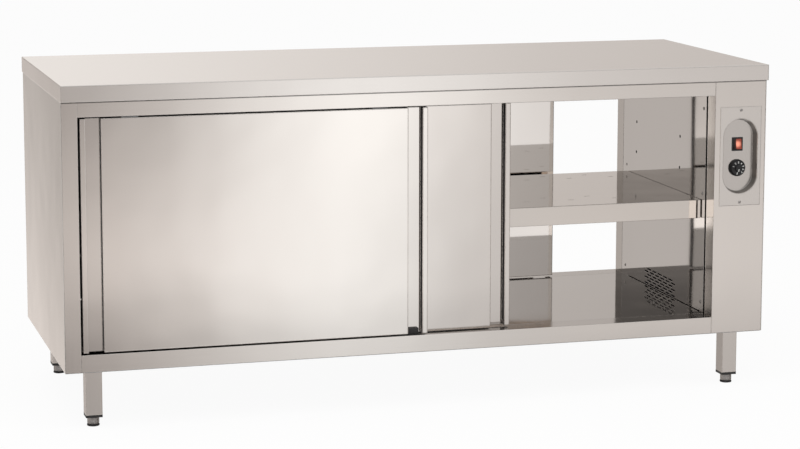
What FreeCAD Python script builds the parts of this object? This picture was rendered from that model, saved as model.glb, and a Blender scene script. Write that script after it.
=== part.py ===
import FreeCAD, Part
import math
import os

import Sketcher

# A free-standing plate warmer cabinet: a folded steel carcass on four legs, open right through
# from front to rear, with two hung sliding doors on each side, one loose shelf, and a heater and
# its controls in the right-hand column. Front is -Y, +X is to the right seen from the front,
# Z is zero where the feet stand. All lengths are in millimetres.

SIZES = {
    # Worktop
    "worktop_width": 1800.0,
    "worktop_depth": 700.0,
    "worktop_height": 40.0,
    "worktop_sheet": 1.5,
    "worktop_hem": 15.0,
    "worktop_round": 2.0,
    "front_overhang": 10.0,
    "side_overhang": 1.0,
    "stiffener_width": 60.0,
    "stiffener_inset": 90.0,
    "stiffener_hem_gap": 0.5,
    # Carcass
    "body_height": 650.0,
    "sheet": 1.2,
    "seam": 0.3,
    "stile_width": 39.0,
    "column_width": 139.0,
    "top_rail_height": 37.0,
    "top_rail_flange": 40.0,
    "bottom_rail_height": 42.0,
    "bottom_rail_flange": 12.0,
    "jamb_depth": 47.0,
    "side_flange": 25.0,
    "side_flange_setback": 60.0,
    "underside_inset": 2.0,
    "floor_flange": 15.0,
    "floor_gap": 3.5,
    "floor_gap_front": 18.0,
    "floor_gap_rear": 44.0,
    "wall_return": 14.0,
    "wall_skirt": 22.0,
    "wall_rear_gap": 1.5,
    "ceiling_flange": 34.0,
    "mat_thickness": 22.0,
    "mat_margin": 5.0,
    "mat_leg_clearance": 40.0,
    # Sliding doors
    "door_overlap": 90.0,
    "door_thickness": 24.0,
    "door_inset": 3.0,
    "door_spacing": 5.0,
    "zone_clearance": 1.0,
    "door_gap": 4.0,
    "door_sheet": 1.0,
    "lip_width": 13.0,
    "channel_width": 37.0,
    "channel_depth": 17.0,
    "liner_return": 5.0,
    "liner_gap": 0.2,
    "front_left_door_start": 6.0,
    "front_right_door_start": 229.0,
    "rear_left_door_start": 1.0,
    "rear_right_door_start": 555.0,
    # Tracks, hangers, rollers and guides
    "track_width": 25.0,
    "track_sheet": 1.5,
    "track_slot": 8.0,
    "track_drop": 1.0,
    "hanger_inset": 120.0,
    "hanger_width": 30.0,
    "hanger_sheet": 2.0,
    "hanger_foot_width": 40.0,
    "hanger_foot_depth": 16.0,
    "hanger_head": 7.0,
    "roller_radius": 10.0,
    "roller_width": 8.4,
    "roller_side_gap": 0.4,
    "axle_radius": 2.5,
    "axle_fit": 0.05,
    "axle_head_radius": 4.0,
    "axle_head": 0.6,
    "run_gap": 0.3,
    "guide_slot": 9.0,
    "guide_slot_height": 14.0,
    "guide_length": 60.0,
    "guide_base": 1.5,
    "guide_top_gap": 2.0,
    "guide_base_margin": 3.0,
    # Shelf and its studs
    "shelf_top": 335.0,
    "shelf_height": 48.0,
    "shelf_depth": 520.0,
    "shelf_end_gap": 2.0,
    "shelf_sheet": 1.2,
    "stud_radius": 5.0,
    "stud_reach": 11.0,
    "stud_shank_radius": 3.6,
    "stud_hole_radius": 4.0,
    "stud_nut_radius": 6.8,
    "stud_nut": 4.0,
    "stud_front": 112.0,
    "stud_rear": 195.0,
    "stud_level": 314.0,
    "stud_pitch": 83.0,
    "shelf_slot_length": 14.0,
    "shelf_slot_width": 3.5,
    "shelf_slot_pitch": 121.0,
    "shelf_row_front": 175.0,
    "shelf_row_rear": 217.0,
    "shelf_row_spacing": 46.0,
    # Legs and feet
    "leg_side": 40.0,
    "leg_wall": 1.5,
    "leg_break": 1.2,
    "leg_inset_side": 54.0,
    "leg_inset_front": 43.0,
    "leg_exposed": 113.8,
    "leg_plate": 60.0,
    "leg_plate_thickness": 3.0,
    "leg_hole_gap": 0.3,
    "plug_flange": 6.0,
    "plug_insert": 25.0,
    "plug_gap": 0.2,
    "foot_gap": 0.2,
    "barrel_radius": 14.5,
    "barrel_height": 18.0,
    "pad_radius": 15.2,
    "pad_height": 5.0,
    "stem_radius": 5.0,
    "stem_gap": 0.1,
    "stem_length": 60.0,
    # Control fascia
    "fascia_width": 112.0,
    "fascia_height": 254.0,
    "fascia_sheet": 1.0,
    "fascia_offset": 1.5,
    "fascia_drop": 193.7,
    "recess_width": 94.0,
    "recess_height": 193.0,
    "recess_depth": 20.0,
    "recess_draft": 4.0,
    "recess_clearance": 1.5,
    "fascia_screw_span": 236.5,
    "switch_rise": 28.7,
    "knob_drop": 32.3,
    "screw_radius": 2.0,
    "screw_hole_radius": 2.2,
    "screw_head_radius": 4.0,
    "screw_head": 1.6,
    "screw_length": 8.0,
    "wall_screw_front": 17.0,
    "wall_screw_rear": 16.0,
    "wall_screw_low": 68.0,
    "wall_screw_middle": 352.0,
    "wall_screw_high": 572.0,
    # Rocker switch
    "bezel_width": 29.0,
    "bezel_height": 35.0,
    "bezel_thickness": 2.5,
    "switch_width": 25.4,
    "switch_height": 31.4,
    "switch_depth": 24.0,
    "switch_fit": 0.3,
    "well_depth": 9.0,
    "rocker_width": 20.0,
    "rocker_height": 26.0,
    "rocker_gap": 0.6,
    "rocker_edge": 3.0,
    "rocker_body": 4.0,
    "pivot_radius": 1.5,
    "pivot_fit": 0.05,
    "pivot_length": 1.6,
    "pivot_depth": 2.0,
    # Thermostat and knob
    "thermostat_width": 40.0,
    "thermostat_height": 34.0,
    "thermostat_depth": 30.0,
    "bushing_radius": 5.0,
    "bushing_length": 1.0,
    "bushing_fit": 0.3,
    "spindle_radius": 3.0,
    "spindle_fit": 0.05,
    "spindle_depth": 15.0,
    "knob_radius": 22.0,
    "knob_height": 15.0,
    "knob_gap": 0.5,
    # Vent grille, fan and heater
    "vent_centre": 13.0,
    "vent_length": 28.0,
    "vent_pitch": 37.5,
    "vent_width": 4.5,
    "vent_row_pitch": 8.0,
    "vent_first_row": 5.0,
    "duct_height": 60.0,
    "duct_length": 220.0,
    "duct_reach": 66.0,
    "duct_sheet": 1.2,
    "duct_wall_gap": 0.3,
    "duct_level": 68.0,
    "duct_inlet": 40.0,
    "impeller_radius": 22.0,
    "impeller_end_gap": 10.0,
    "impeller_disc": 1.5,
    "blade_width": 7.0,
    "blade_thickness": 1.0,
    "blade_bow": 1.6,
    "shaft_radius": 3.0,
    "shaft_fit": 0.05,
    "shaft_tail": 24.0,
    "shaft_nose": 4.0,
    "motor_width": 56.0,
    "motor_height": 48.0,
    "motor_depth": 22.0,
    "motor_coil_radius": 10.5,
    "motor_coil": 34.0,
    "element_radius": 4.0,
    "element_spacing": 24.0,
    "element_reach": 22.0,
    "element_tail": 12.0,
    "element_fit": 0.2,
    # Cable gland
    "gland_inset_side": 70.0,
    "gland_inset_rear": 100.0,
    "gland_bore": 4.5,
    "gland_thread_radius": 9.8,
    "gland_hole_radius": 10.0,
    "gland_nut_radius": 14.0,
    "gland_nut": 6.0,
    "gland_cap_radius": 12.0,
    "gland_cap": 16.0,
    "gland_thread": 14.0,
    "gland_locknut": 5.0,
    # One overrun serves every cut that has to pass clear of a face
    "overrun": 5.0,
}
STIFFENER_COUNT = 5
VENT_ROWS = 6
VENT_SLOTS = 6
BLADE_COUNT = 14
STUD_HOLE_COUNT = 3
SHELF_SLOT_COUNT = 13
ROCKER_TILT_DEG = -8.0
WHEEL_SIDES = 20
KNOB_SIDES = 32
PIN_SIDES = 12
TOLERANCE = 1e-6

# Shares of the piece that carries them
octagon_corner_share = 1 / math.cos(math.pi / 8)
rocker_belly_share = 0.55
coil_seat_share = 0.5


class Size:
    """A length from the sheet: its number, and the sheet expression that gives it."""

    def __init__(self, number, text):
        self.number = number
        self.text = text

    def join(self, other, sign, number):
        other_text = other.text if isinstance(other, Size) else repr(float(other))
        return Size(number, "(%s %s %s)" % (self.text, sign, other_text))

    def __add__(self, other):
        return self.join(other, "+", self.number + float(other))

    def __sub__(self, other):
        return self.join(other, "-", self.number - float(other))

    def __mul__(self, other):
        return self.join(other, "*", self.number * float(other))

    def __truediv__(self, other):
        return self.join(other, "/", self.number / float(other))

    def __neg__(self):
        return Size(-self.number, "(-1 * %s)" % self.text)

    def __float__(self):
        return float(self.number)


class Names:
    """The sheet's aliases as attributes."""

    def __init__(self, sizes):
        for alias, number in sizes.items():
            setattr(self, alias, Size(number, "Sizes." + alias))


doc = FreeCAD.newDocument("plate_warmer_cabinet")
sheet = doc.addObject("Spreadsheet::Sheet", "Sizes")
for row, (alias, number) in enumerate(SIZES.items(), start=1):
    sheet.set("A%d" % row, alias)
    sheet.set("B%d" % row, str(number))
    sheet.setAlias("B%d" % row, alias)
doc.recompute()

s = Names(SIZES)
nodes = {}
ZERO = s.sheet * 0

# Shared planes, all worked out from the sheet
base = s.pad_height + s.barrel_height + s.foot_gap + s.plug_flange + s.leg_exposed
body_top = base + s.body_height
body_left = -(s.worktop_width / 2) + s.side_overhang
body_right = -body_left
body_front = -(s.worktop_depth / 2) + s.front_overhang
open_left = body_left + s.stile_width
open_right = body_right - s.column_width
floor_top = base + s.bottom_rail_height
ceiling = body_top - s.top_rail_height
zone = s.door_inset + s.door_thickness * 2 + s.door_spacing + s.zone_clearance
door_width = (open_right - open_left + s.door_overlap) / 2
door_low = floor_top + s.door_gap
door_high = ceiling - s.door_gap
track_low = ceiling + s.track_drop
roller_level = track_low + s.track_sheet + s.run_gap + s.roller_radius
FRONT = "front"
REAR = "rear"
TURNS = {
    "X": FreeCAD.Rotation(FreeCAD.Vector(0, 1, 0), 90),
    "Y": FreeCAD.Rotation(FreeCAD.Vector(1, 0, 0), -90),
    "Z": FreeCAD.Rotation(),
}


def inward(side, start, end):
    """Y span at two depths, measured in from the body's front or rear plane."""
    if side == FRONT:
        return (body_front + start, body_front + end)
    return (-body_front - end, -body_front - start)


def bind(thing, prop, size):
    """Bind one property of an object to a sheet expression."""
    thing.setExpression(prop, size.text)


def place(thing, x, y, z):
    """Bind an object's position."""
    bind(thing, "Placement.Base.x", x)
    bind(thing, "Placement.Base.y", y)
    bind(thing, "Placement.Base.z", z)


def block(name, x, y, z):
    """A box between two planes each way."""
    box = doc.addObject("Part::Box", name)
    bind(box, "Length", x[1] - x[0])
    bind(box, "Width", y[1] - y[0])
    bind(box, "Height", z[1] - z[0])
    place(box, x[0], y[0], z[0])
    return box


def rod(name, radius, length, x, y, z, axis="Z"):
    """A cylinder from a point along +X, +Y or +Z."""
    cylinder = doc.addObject("Part::Cylinder", name)
    bind(cylinder, "Radius", radius)
    bind(cylinder, "Height", length)
    cylinder.Placement = FreeCAD.Placement(FreeCAD.Vector(), TURNS[axis])
    place(cylinder, x, y, z)
    return cylinder


def facetted(name, sides, corner_radius, length, x, y, z, axis="Z"):
    """A many-sided bar with flats facing the row axes."""
    bar = doc.addObject("Part::Prism", name)
    bar.Polygon = sides
    bind(bar, "Circumradius", corner_radius)
    bind(bar, "Height", length)
    half_side = FreeCAD.Rotation(FreeCAD.Vector(0, 0, 1), 180 / sides)
    bar.Placement = FreeCAD.Placement(FreeCAD.Vector(), TURNS[axis].multiply(half_side))
    place(bar, x, y, z)
    return bar


def octagon(name, flat_radius, length, x, y, z, axis="Z"):
    """An eight-sided bar sized over its flats, for small holes and fasteners."""
    return facetted(name, 8, flat_radius * octagon_corner_share, length, x, y, z, axis)


def fuse(name, things):
    """One solid from several that touch or overlap."""
    fused = doc.addObject("Part::MultiFuse", name)
    fused.Shapes = things
    fused.Refine = True
    return fused


def group(name, things):
    """Separate solids under one name."""
    compound = doc.addObject("Part::Compound", name)
    compound.Links = things
    return compound


def cut(name, thing, tools):
    """A thing with each tool taken out of it."""
    tool = tools[0]
    if len(tools) > 1:
        tool = doc.addObject("Part::MultiFuse", name + "_tools")
        tool.Shapes = tools
    result = doc.addObject("Part::Cut", name)
    result.Base = thing
    result.Tool = tool
    return result


def folded(name, x, y, z, open_sides, thickness):
    """Folded sheet: a box shelled inwards, with some of its six sides open."""
    spans = []
    for axis, span in (("x", x), ("y", y), ("z", z)):
        low = span[0] - s.overrun if axis + "-" in open_sides else span[0] + thickness
        high = span[1] + s.overrun if axis + "+" in open_sides else span[1] - thickness
        spans.append((low, high))
    return cut(name, block(name + "_blank", x, y, z), [block(name + "_inside", *spans)])


def rounded(name, thing, radius, wanted, kind="Part::Fillet"):
    """Fillet or chamfer the edges that a test picks out."""
    doc.recompute()
    fillet = doc.addObject(kind, name)
    fillet.Base = thing
    picked = [number for number, edge in enumerate(thing.Shape.Edges, start=1) if wanted(edge)]
    fillet.Edges = [(number, float(radius), float(radius)) for number in picked]
    return fillet


def along(edge, axis):
    """True for a straight edge that runs along one axis."""
    if not isinstance(edge.Curve, Part.Line):
        return False
    run = edge.lastVertex().Point - edge.firstVertex().Point
    return abs(abs(run.normalize().dot(axis)) - 1) < TOLERANCE


def node(name, thing):
    """Name a finished sub-part."""
    thing.Label = name
    nodes[name] = thing
    return thing


def profile(body, name, plane, points):
    """A closed outline on one of a body's planes, each corner bound to the sheet both ways."""
    sketch = body.newObject("Sketcher::SketchObject", name)
    planes = {item.Role: item for item in body.Origin.OriginFeatures}
    sketch.AttachmentSupport = [(planes[plane], "")]
    sketch.MapMode = "FlatFace"
    corners = [FreeCAD.Vector(float(across), float(up), 0) for across, up in points]
    for index, corner in enumerate(corners):
        following = corners[(index + 1) % len(corners)]
        sketch.addGeometry(Part.LineSegment(corner, following), False)
    for index in range(len(corners)):
        joined = (index + 1) % len(corners)
        sketch.addConstraint(Sketcher.Constraint("Coincident", index, 2, joined, 1))
    for index, (across, up) in enumerate(points):
        for kind, size in (("DistanceX", across), ("DistanceY", up)):
            label = "%s_%d" % (kind.lower(), index)
            datum = Sketcher.Constraint(kind, -1, 1, index, 1, float(size))
            number = sketch.addConstraint(datum)
            sketch.renameConstraint(number, label)
            sketch.setExpression("Constraints." + label, size.text)
    return sketch


def padded(name, plane, points, length):
    """A body padded from an outline."""
    body = doc.addObject("PartDesign::Body", name)
    outline = profile(body, name + "_outline", plane, points)
    pad = body.newObject("PartDesign::Pad", name + "_pad")
    pad.Profile = outline
    bind(pad, "Length", length)
    body.Tip = pad
    return body


# Worktop: a tray folded down on all sides with a hem turned in, rounded along its top edges
def make_worktop():
    half_width = s.worktop_width / 2
    half_depth = s.worktop_depth / 2
    x = (-half_width, half_width)
    y = (-half_depth, half_depth)
    z = (body_top, body_top + s.worktop_height)
    tray = folded("worktop_tray", x, y, z, ["z-"], s.worktop_sheet)
    hem_z = (body_top, body_top + s.worktop_sheet)
    hem_plate = block("worktop_hem_plate", x, y, hem_z)
    turn_in = s.worktop_sheet + s.worktop_hem
    window = block(
        "worktop_hem_window",
        (x[0] + turn_in, x[1] - turn_in),
        (y[0] + turn_in, y[1] - turn_in),
        (hem_z[0] - s.overrun, hem_z[1] + s.overrun),
    )
    hem = cut("worktop_hem_ring", hem_plate, [window])
    sharp = fuse("worktop_sharp", [tray, hem])
    top = float(z[1])
    on_top = lambda edge: abs(edge.BoundBox.ZMin - top) < TOLERANCE
    node("worktop", rounded("worktop", sharp, s.worktop_round, on_top))

    channels = []
    hem_inner = half_depth - turn_in - s.stiffener_hem_gap
    run = s.worktop_width - s.stiffener_inset * 2 - s.stiffener_width
    for index in range(STIFFENER_COUNT):
        start = x[0] + s.stiffener_inset + run * (index / (STIFFENER_COUNT - 1))
        channels.append(
            folded(
                "worktop_stiffener_%d" % index,
                (start, start + s.stiffener_width),
                (-hem_inner, hem_inner),
                (z[0], z[1] - s.worktop_sheet),
                ["z-", "y-", "y+"],
                s.worktop_sheet,
            )
        )
    node("worktop_stiffeners", group("worktop_stiffeners", channels))


# Side panels: one sheet with a flange in at top and bottom, cut short behind the corner posts
def make_side_panel(name, x, open_side):
    height = (base, body_top)
    panel = folded(name + "_sheet", x, (body_front, -body_front), height, [open_side, "y-", "y+"], s.sheet)
    inner = (x[0] + s.sheet, x[1] + s.overrun) if open_side == "x+" else (x[0] - s.overrun, x[1] - s.sheet)
    notches = []
    for side in (FRONT, REAR):
        y = inward(side, -s.overrun, s.side_flange_setback)
        z = (base - s.overrun, body_top + s.overrun)
        notches.append(block("%s_notch_%s" % (name, side), inner, y, z))
    node(name, cut(name, panel, notches))


# Corner posts: a channel open to the inside, whose inner leg is the door jamb
def make_posts():
    post_left = body_left + s.sheet + s.seam
    post_right = body_right - s.sheet - s.seam
    height = (base, body_top)
    for side, name in ((FRONT, "front_left_stile"), (REAR, "rear_left_stile")):
        back = "y+" if side == FRONT else "y-"
        y = inward(side, ZERO, s.jamb_depth)
        node(name, folded(name, (post_left, open_left), y, height, [back, "z-", "z+"], s.sheet))
    back_y = inward(REAR, ZERO, s.jamb_depth)
    rear_column = folded(
        "rear_column", (open_right, post_right), back_y, height, ["y-", "z-", "z+"], s.sheet
    )
    node("rear_column", rear_column)
    front_y = inward(FRONT, ZERO, s.jamb_depth)
    column = folded(
        "control_column_post", (open_right, post_right), front_y, height, ["y+", "z-", "z+"], s.sheet
    )
    # Window behind the fascia, following its recess, and holes for its two screws
    grow = s.recess_clearance
    radius = s.recess_width / 2 + grow
    half_run = (s.recess_height - s.recess_width) / 2
    middle = fascia_level
    cut_y = (body_front - s.overrun, body_front + s.overrun)
    tools = [
        block(
            "window_middle",
            (fascia_centre - radius, fascia_centre + radius),
            cut_y,
            (middle - half_run, middle + half_run),
        )
    ]
    for end, sign in (("top", 1), ("bottom", -1)):
        level = middle + half_run * sign
        tools.append(rod("window_" + end, radius, s.overrun * 2, fascia_centre, cut_y[0], level, "Y"))
        screw_z = middle + s.fascia_screw_span / 2 * sign
        hole_name = "fascia_screw_hole_" + end
        start = cut_y[0]
        hole = octagon(hole_name, s.screw_hole_radius, s.overrun * 2, fascia_centre, start, screw_z, "Y")
        tools.append(hole)
    node("control_column", cut("control_column", column, tools))


# Rails between the posts: the top rail hides the door tracks, the bottom rail carries the guides
def make_rails():
    x = (open_left + s.seam, open_right - s.seam)
    for side in (FRONT, REAR):
        back = "y+" if side == FRONT else "y-"
        top_y = inward(side, ZERO, s.top_rail_flange)
        top = folded(side + "_top_rail", x, top_y, (ceiling, body_top), [back, "x-", "x+", "z-"], s.sheet)
        node(side + "_top_rail", top)
        y = inward(side, ZERO, zone - s.seam)
        rail = folded(side + "_bottom_rail_fold", x, y, (base, floor_top), [back, "x-", "x+"], s.sheet)
        trim_y = inward(side, s.bottom_rail_flange, zone + s.overrun)
        trim = block(
            side + "_bottom_rail_trim",
            (x[0] - s.overrun, x[1] + s.overrun),
            trim_y,
            (base - s.overrun, base + s.overrun),
        )
        node(side + "_bottom_rail", cut(side + "_bottom_rail", rail, [trim]))


def leg_corners():
    """Centre of each leg with the words for its place."""
    across = s.worktop_width / 2 - s.leg_inset_side - s.leg_side / 2
    deep = s.worktop_depth / 2 - s.leg_inset_front - s.leg_side / 2
    return [
        ("front_left", -across, -deep),
        ("front_right", across, -deep),
        ("rear_left", -across, deep),
        ("rear_right", across, deep),
    ]


# Underside: one plain sheet under the frame, pierced by the legs and the cable gland
def make_underside():
    inset = s.underside_inset
    z = (base - s.sheet, base)
    cut_z = (z[0] - s.overrun, z[1] + s.overrun)
    sheet_plate = block(
        "underside_plate",
        (body_left + inset, body_right - inset),
        (body_front + inset, -body_front - inset),
        z,
    )
    tools = []
    reach = s.leg_side / 2 + s.leg_hole_gap
    for place_name, x, y in leg_corners():
        tools.append(block("leg_hole_" + place_name, (x - reach, x + reach), (y - reach, y + reach), cut_z))
    tools.append(
        rod("gland_hole", s.gland_hole_radius, s.sheet + s.overrun * 2, gland_x, gland_y, cut_z[0])
    )
    node("underside_panel", cut("underside_panel", sheet_plate, tools))


# Lining of the heated chamber: floor, ceiling and the two inner walls
def make_lining():
    x = (open_left + s.seam, open_right - s.seam)
    y = inward(FRONT, zone, -(body_front * 2) - zone)
    floor_z = (floor_top - s.floor_flange, floor_top)
    floor = folded("interior_floor_fold", x, y, floor_z, ["z-", "x-", "x+"], s.sheet)
    slot_y = (y[0] + s.floor_gap_front, y[1] - s.floor_gap_rear)
    slot_z = (floor_z[0] - s.overrun, floor_z[1] + s.overrun)
    slots = [
        block("floor_gap_left", (x[0] - s.overrun, x[0] + s.floor_gap), slot_y, slot_z),
        block("floor_gap_right", (x[1] - s.floor_gap, x[1] + s.overrun), slot_y, slot_z),
    ]
    node("interior_floor", cut("interior_floor", floor, slots))
    ceiling_z = (ceiling, ceiling + s.ceiling_flange)
    node("ceiling_panel", folded("ceiling_panel", x, y, ceiling_z, ["z+", "x-", "x+"], s.sheet))

    wall_y = (y[0], -body_front - s.jamb_depth - s.wall_rear_gap)
    wall_z = (floor_top - s.wall_skirt, ceiling - s.seam)
    left_x = (open_left - s.wall_return, open_left)
    right_x = (open_right, open_right + s.wall_return)
    left = folded("left_wall_fold", left_x, wall_y, wall_z, ["x-", "z-", "z+"], s.sheet)
    right = folded("right_wall_fold", right_x, wall_y, wall_z, ["x+", "z-", "z+"], s.sheet)
    node("left_inner_wall", cut("left_inner_wall", left, wall_holes("left", open_left)))
    tools = wall_holes("right", open_right) + vent_slots()
    node("right_inner_wall", cut("right_inner_wall", right, tools))


def stud_places():
    """Y of the two stud columns."""
    return [("front", -s.stud_front), ("rear", s.stud_rear)]


def wall_screw_places():
    """Y and Z of the screws that hold an inner wall."""
    front = inward(FRONT, zone + s.wall_screw_front, zone + s.wall_screw_front)[0]
    rear = -body_front - zone - s.wall_screw_rear
    levels = (("low", s.wall_screw_low), ("middle", s.wall_screw_middle), ("high", s.wall_screw_high))
    return [
        ("%s_%s" % (side, word), y, base + level)
        for side, y in (("front", front), ("rear", rear))
        for word, level in levels
    ]


def wall_holes(word, plane):
    """Shelf holes at three heights in two columns, and the screw holes, through one inner wall."""
    start = plane - s.overrun
    length = s.overrun * 2
    tools = []
    for column, y in stud_places():
        for step in range(STUD_HOLE_COUNT):
            level = base + s.stud_level + s.stud_pitch * step
            name = "%s_shelf_hole_%s_%d" % (word, column, step)
            tools.append(octagon(name, s.stud_hole_radius, length, start, y, level, "X"))
    for screw, y, level in wall_screw_places():
        name = "%s_wall_hole_%s" % (word, screw)
        tools.append(octagon(name, s.screw_hole_radius, length, start, y, level, "X"))
    return tools


def vent_slots():
    """Staggered rows of slots, low on the right inner wall."""
    tools = []
    half_width = s.vent_width / 2
    x = (open_right - s.overrun, open_right + s.overrun)
    for row_index in range(VENT_ROWS):
        level = floor_top + s.vent_first_row + s.vent_row_pitch * row_index
        # Every other row has one slot fewer, so that the rows interlock
        slots = VENT_SLOTS - row_index % 2
        start = s.vent_centre - (s.vent_pitch * (slots - 1) + s.vent_length) / 2
        for slot_index in range(slots):
            low = start + s.vent_pitch * slot_index
            high = low + s.vent_length
            name = "vent_%d_%d" % (row_index, slot_index)
            tools.append(block(name, x, (low, high), (level - half_width, level + half_width)))
    return tools


# Insulation mats: behind the left inner wall, under the floor and over the ceiling
def make_insulation():
    margin = s.mat_margin
    x = (open_left + margin, open_right - margin)
    deep = -body_front - zone - s.sheet
    wall = block(
        "mat_wall",
        (body_left + s.sheet, body_left + s.sheet + s.mat_thickness),
        (-deep, deep),
        (base + margin, body_top - margin),
    )
    under = block(
        "mat_floor",
        x,
        (-deep + s.mat_leg_clearance, deep - s.mat_leg_clearance),
        (floor_top - s.sheet - s.mat_thickness, floor_top - s.sheet),
    )
    over = block("mat_ceiling", x, (-deep, deep), (ceiling + s.sheet, ceiling + s.sheet + s.mat_thickness))
    node("insulation", group("insulation", [wall, under, over]))


def door_depth(track):
    """Depth of a door's outer face: track 0 is the outer one, track 1 the inner one."""
    return s.door_inset + (s.door_thickness + s.door_spacing) * track


# Upper tracks: two box channels side by side, each slotted below, joined by a top plate
def make_tracks():
    x = (open_left + s.seam, open_right - s.seam)
    z = (track_low, body_top - s.sheet)
    past = (x[0] - s.overrun, x[1] + s.overrun)
    for side in (FRONT, REAR):
        parts = []
        slots = []
        for track in (0, 1):
            middle = door_depth(track) + s.door_thickness / 2
            y = inward(side, middle - s.track_width / 2, middle + s.track_width / 2)
            name = "%s_track_%d" % (side, track)
            parts.append(folded(name, x, y, z, ["x-", "x+"], s.track_sheet))
            slot_y = inward(side, middle - s.track_slot / 2, middle + s.track_slot / 2)
            slots.append(block(name + "_slot", past, slot_y, (z[0] - s.overrun, z[0] + s.overrun)))
        first = door_depth(0) + s.door_thickness / 2 - s.track_width / 2
        last = door_depth(1) + s.door_thickness / 2 + s.track_width / 2
        plate_z = (z[1] - s.track_sheet, z[1])
        parts.append(block(side + "_track_plate", x, inward(side, first, last), plate_z))
        joined = fuse(side + "_track_joined", parts)
        node(side + "_upper_track", cut(side + "_upper_track", joined, slots))


# Centre guides: a low block on each bottom rail with one fin for each door's bottom groove
def make_guides():
    middle_x = (open_left + open_right) / 2
    x = (middle_x - s.guide_length / 2, middle_x + s.guide_length / 2)
    pieces = []
    for side in (FRONT, REAR):
        plate_y = inward(side, s.guide_base_margin, zone - s.guide_base_margin)
        parts = [block(side + "_guide_base", x, plate_y, (floor_top, floor_top + s.guide_base))]
        top = door_low + s.guide_slot_height - s.guide_top_gap
        half = s.guide_slot / 2 - s.run_gap
        for track in (0, 1):
            middle = door_depth(track) + s.door_thickness / 2
            fin_y = inward(side, middle - half, middle + half)
            parts.append(block("%s_guide_fin_%d" % (side, track), x, fin_y, (floor_top, top)))
        pieces.append(fuse(side + "_guide", parts))
    node("door_guides", group("door_guides", pieces))


# A sliding door: an outer shell folded in at each end into a full-height finger channel with a
# narrow lip beyond it, a flat liner, two hangers on top and a roller on each hanger's pin
def make_door(side, name, start, track):
    left = open_left + start
    right = left + door_width
    outer = door_depth(track)
    inner = outer + s.door_thickness
    z = (door_low, door_high)
    back = "y+" if side == FRONT else "y-"
    skin = folded(
        name + "_skin", (left, right), inward(side, outer, inner - s.door_sheet), z, [back], s.door_sheet
    )
    parts = [skin]
    tools = []
    channel_z = (z[0] - s.overrun, z[1] + s.overrun)
    mouth = s.lip_width + s.channel_width
    for end in ("left", "right"):
        fold = (s.lip_width - s.door_sheet, mouth + s.door_sheet)
        void = (s.lip_width, mouth)
        if end == "left":
            fold_x = (left + fold[0], left + fold[1])
            void_x = (left + void[0], left + void[1])
        else:
            fold_x = (right - fold[1], right - fold[0])
            void_x = (right - void[1], right - void[0])
        fold_y = inward(side, outer, outer + s.channel_depth + s.door_sheet)
        void_y = inward(side, outer - s.overrun, outer + s.channel_depth)
        parts.append(block("%s_fold_%s" % (name, end), fold_x, fold_y, z))
        tools.append(block("%s_channel_%s" % (name, end), void_x, void_y, channel_z))
    # Groove along the bottom edge for the centre guide
    middle = outer + s.door_thickness / 2
    groove_y = inward(side, middle - s.guide_slot / 2, middle + s.guide_slot / 2)
    groove_x = (left - s.overrun, right + s.overrun)
    groove_z = (z[0] - s.overrun, z[0] + s.guide_slot_height)
    tools.append(block(name + "_groove", groove_x, groove_y, groove_z))
    node(name + "_shell", cut(name + "_shell", fuse(name + "_shell_folds", parts), tools))

    gap = s.door_sheet + s.liner_gap
    liner_y = inward(side, inner - s.liner_return, inner)
    front_open = "y-" if side == FRONT else "y+"
    liner = folded(
        name + "_liner",
        (left + gap, right - gap),
        liner_y,
        (z[0] + gap, z[1] - gap),
        [front_open],
        s.door_sheet,
    )
    node(name + "_liner", liner)
    make_hangers(side, name, left, right, middle)


def make_hangers(side, name, left, right, middle):
    """Two bent brackets on the door's top edge, each with an axle pin, and a roller on each pin."""
    brackets = []
    half = s.hanger_sheet / 2
    channel_inner = s.track_width / 2 - s.track_sheet
    pin_tip = middle - channel_inner + s.roller_side_gap
    roller_near = pin_tip + s.axle_head + s.roller_side_gap / 2
    for end, x in (("left", left + s.hanger_inset), ("right", right - s.hanger_inset)):
        stem = "%s_hanger_%s" % (name, end)
        plate = block(
            stem + "_plate",
            (x - s.hanger_width / 2, x + s.hanger_width / 2),
            inward(side, middle - half, middle + half),
            (door_high, roller_level + s.hanger_head),
        )
        foot = block(
            stem + "_foot",
            (x - s.hanger_foot_width / 2, x + s.hanger_foot_width / 2),
            inward(side, middle - s.hanger_foot_depth / 2, middle + s.hanger_foot_depth / 2),
            (door_high, door_high + s.hanger_sheet),
        )
        pin_y = inward(side, pin_tip, middle + half)
        pin_length = pin_y[1] - pin_y[0]
        pin = facetted(stem + "_pin", PIN_SIDES, s.axle_radius, pin_length, x, pin_y[0], roller_level, "Y")
        head_y = inward(side, pin_tip, pin_tip + s.axle_head)
        head = octagon(stem + "_head", s.axle_head_radius, s.axle_head, x, head_y[0], roller_level, "Y")
        brackets.append(fuse(stem, [plate, foot, pin, head]))
        # Roller: a plain wheel with a bore that runs on the pin
        wheel = "%s_%s_roller" % (name, end)
        near = inward(side, roller_near, roller_near + s.roller_width)[0]
        width = s.roller_width
        rim = facetted(wheel + "_rim", WHEEL_SIDES, s.roller_radius, width, x, near, roller_level, "Y")
        bore_radius = s.axle_radius + s.axle_fit
        bore_start = near - s.overrun
        bore_length = s.roller_width + s.overrun * 2
        bore = rod(wheel + "_bore", bore_radius, bore_length, x, bore_start, roller_level, "Y")
        node(wheel, cut(wheel, rim, [bore]))
    node(name + "_hangers", group(name + "_hangers", brackets))


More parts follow.
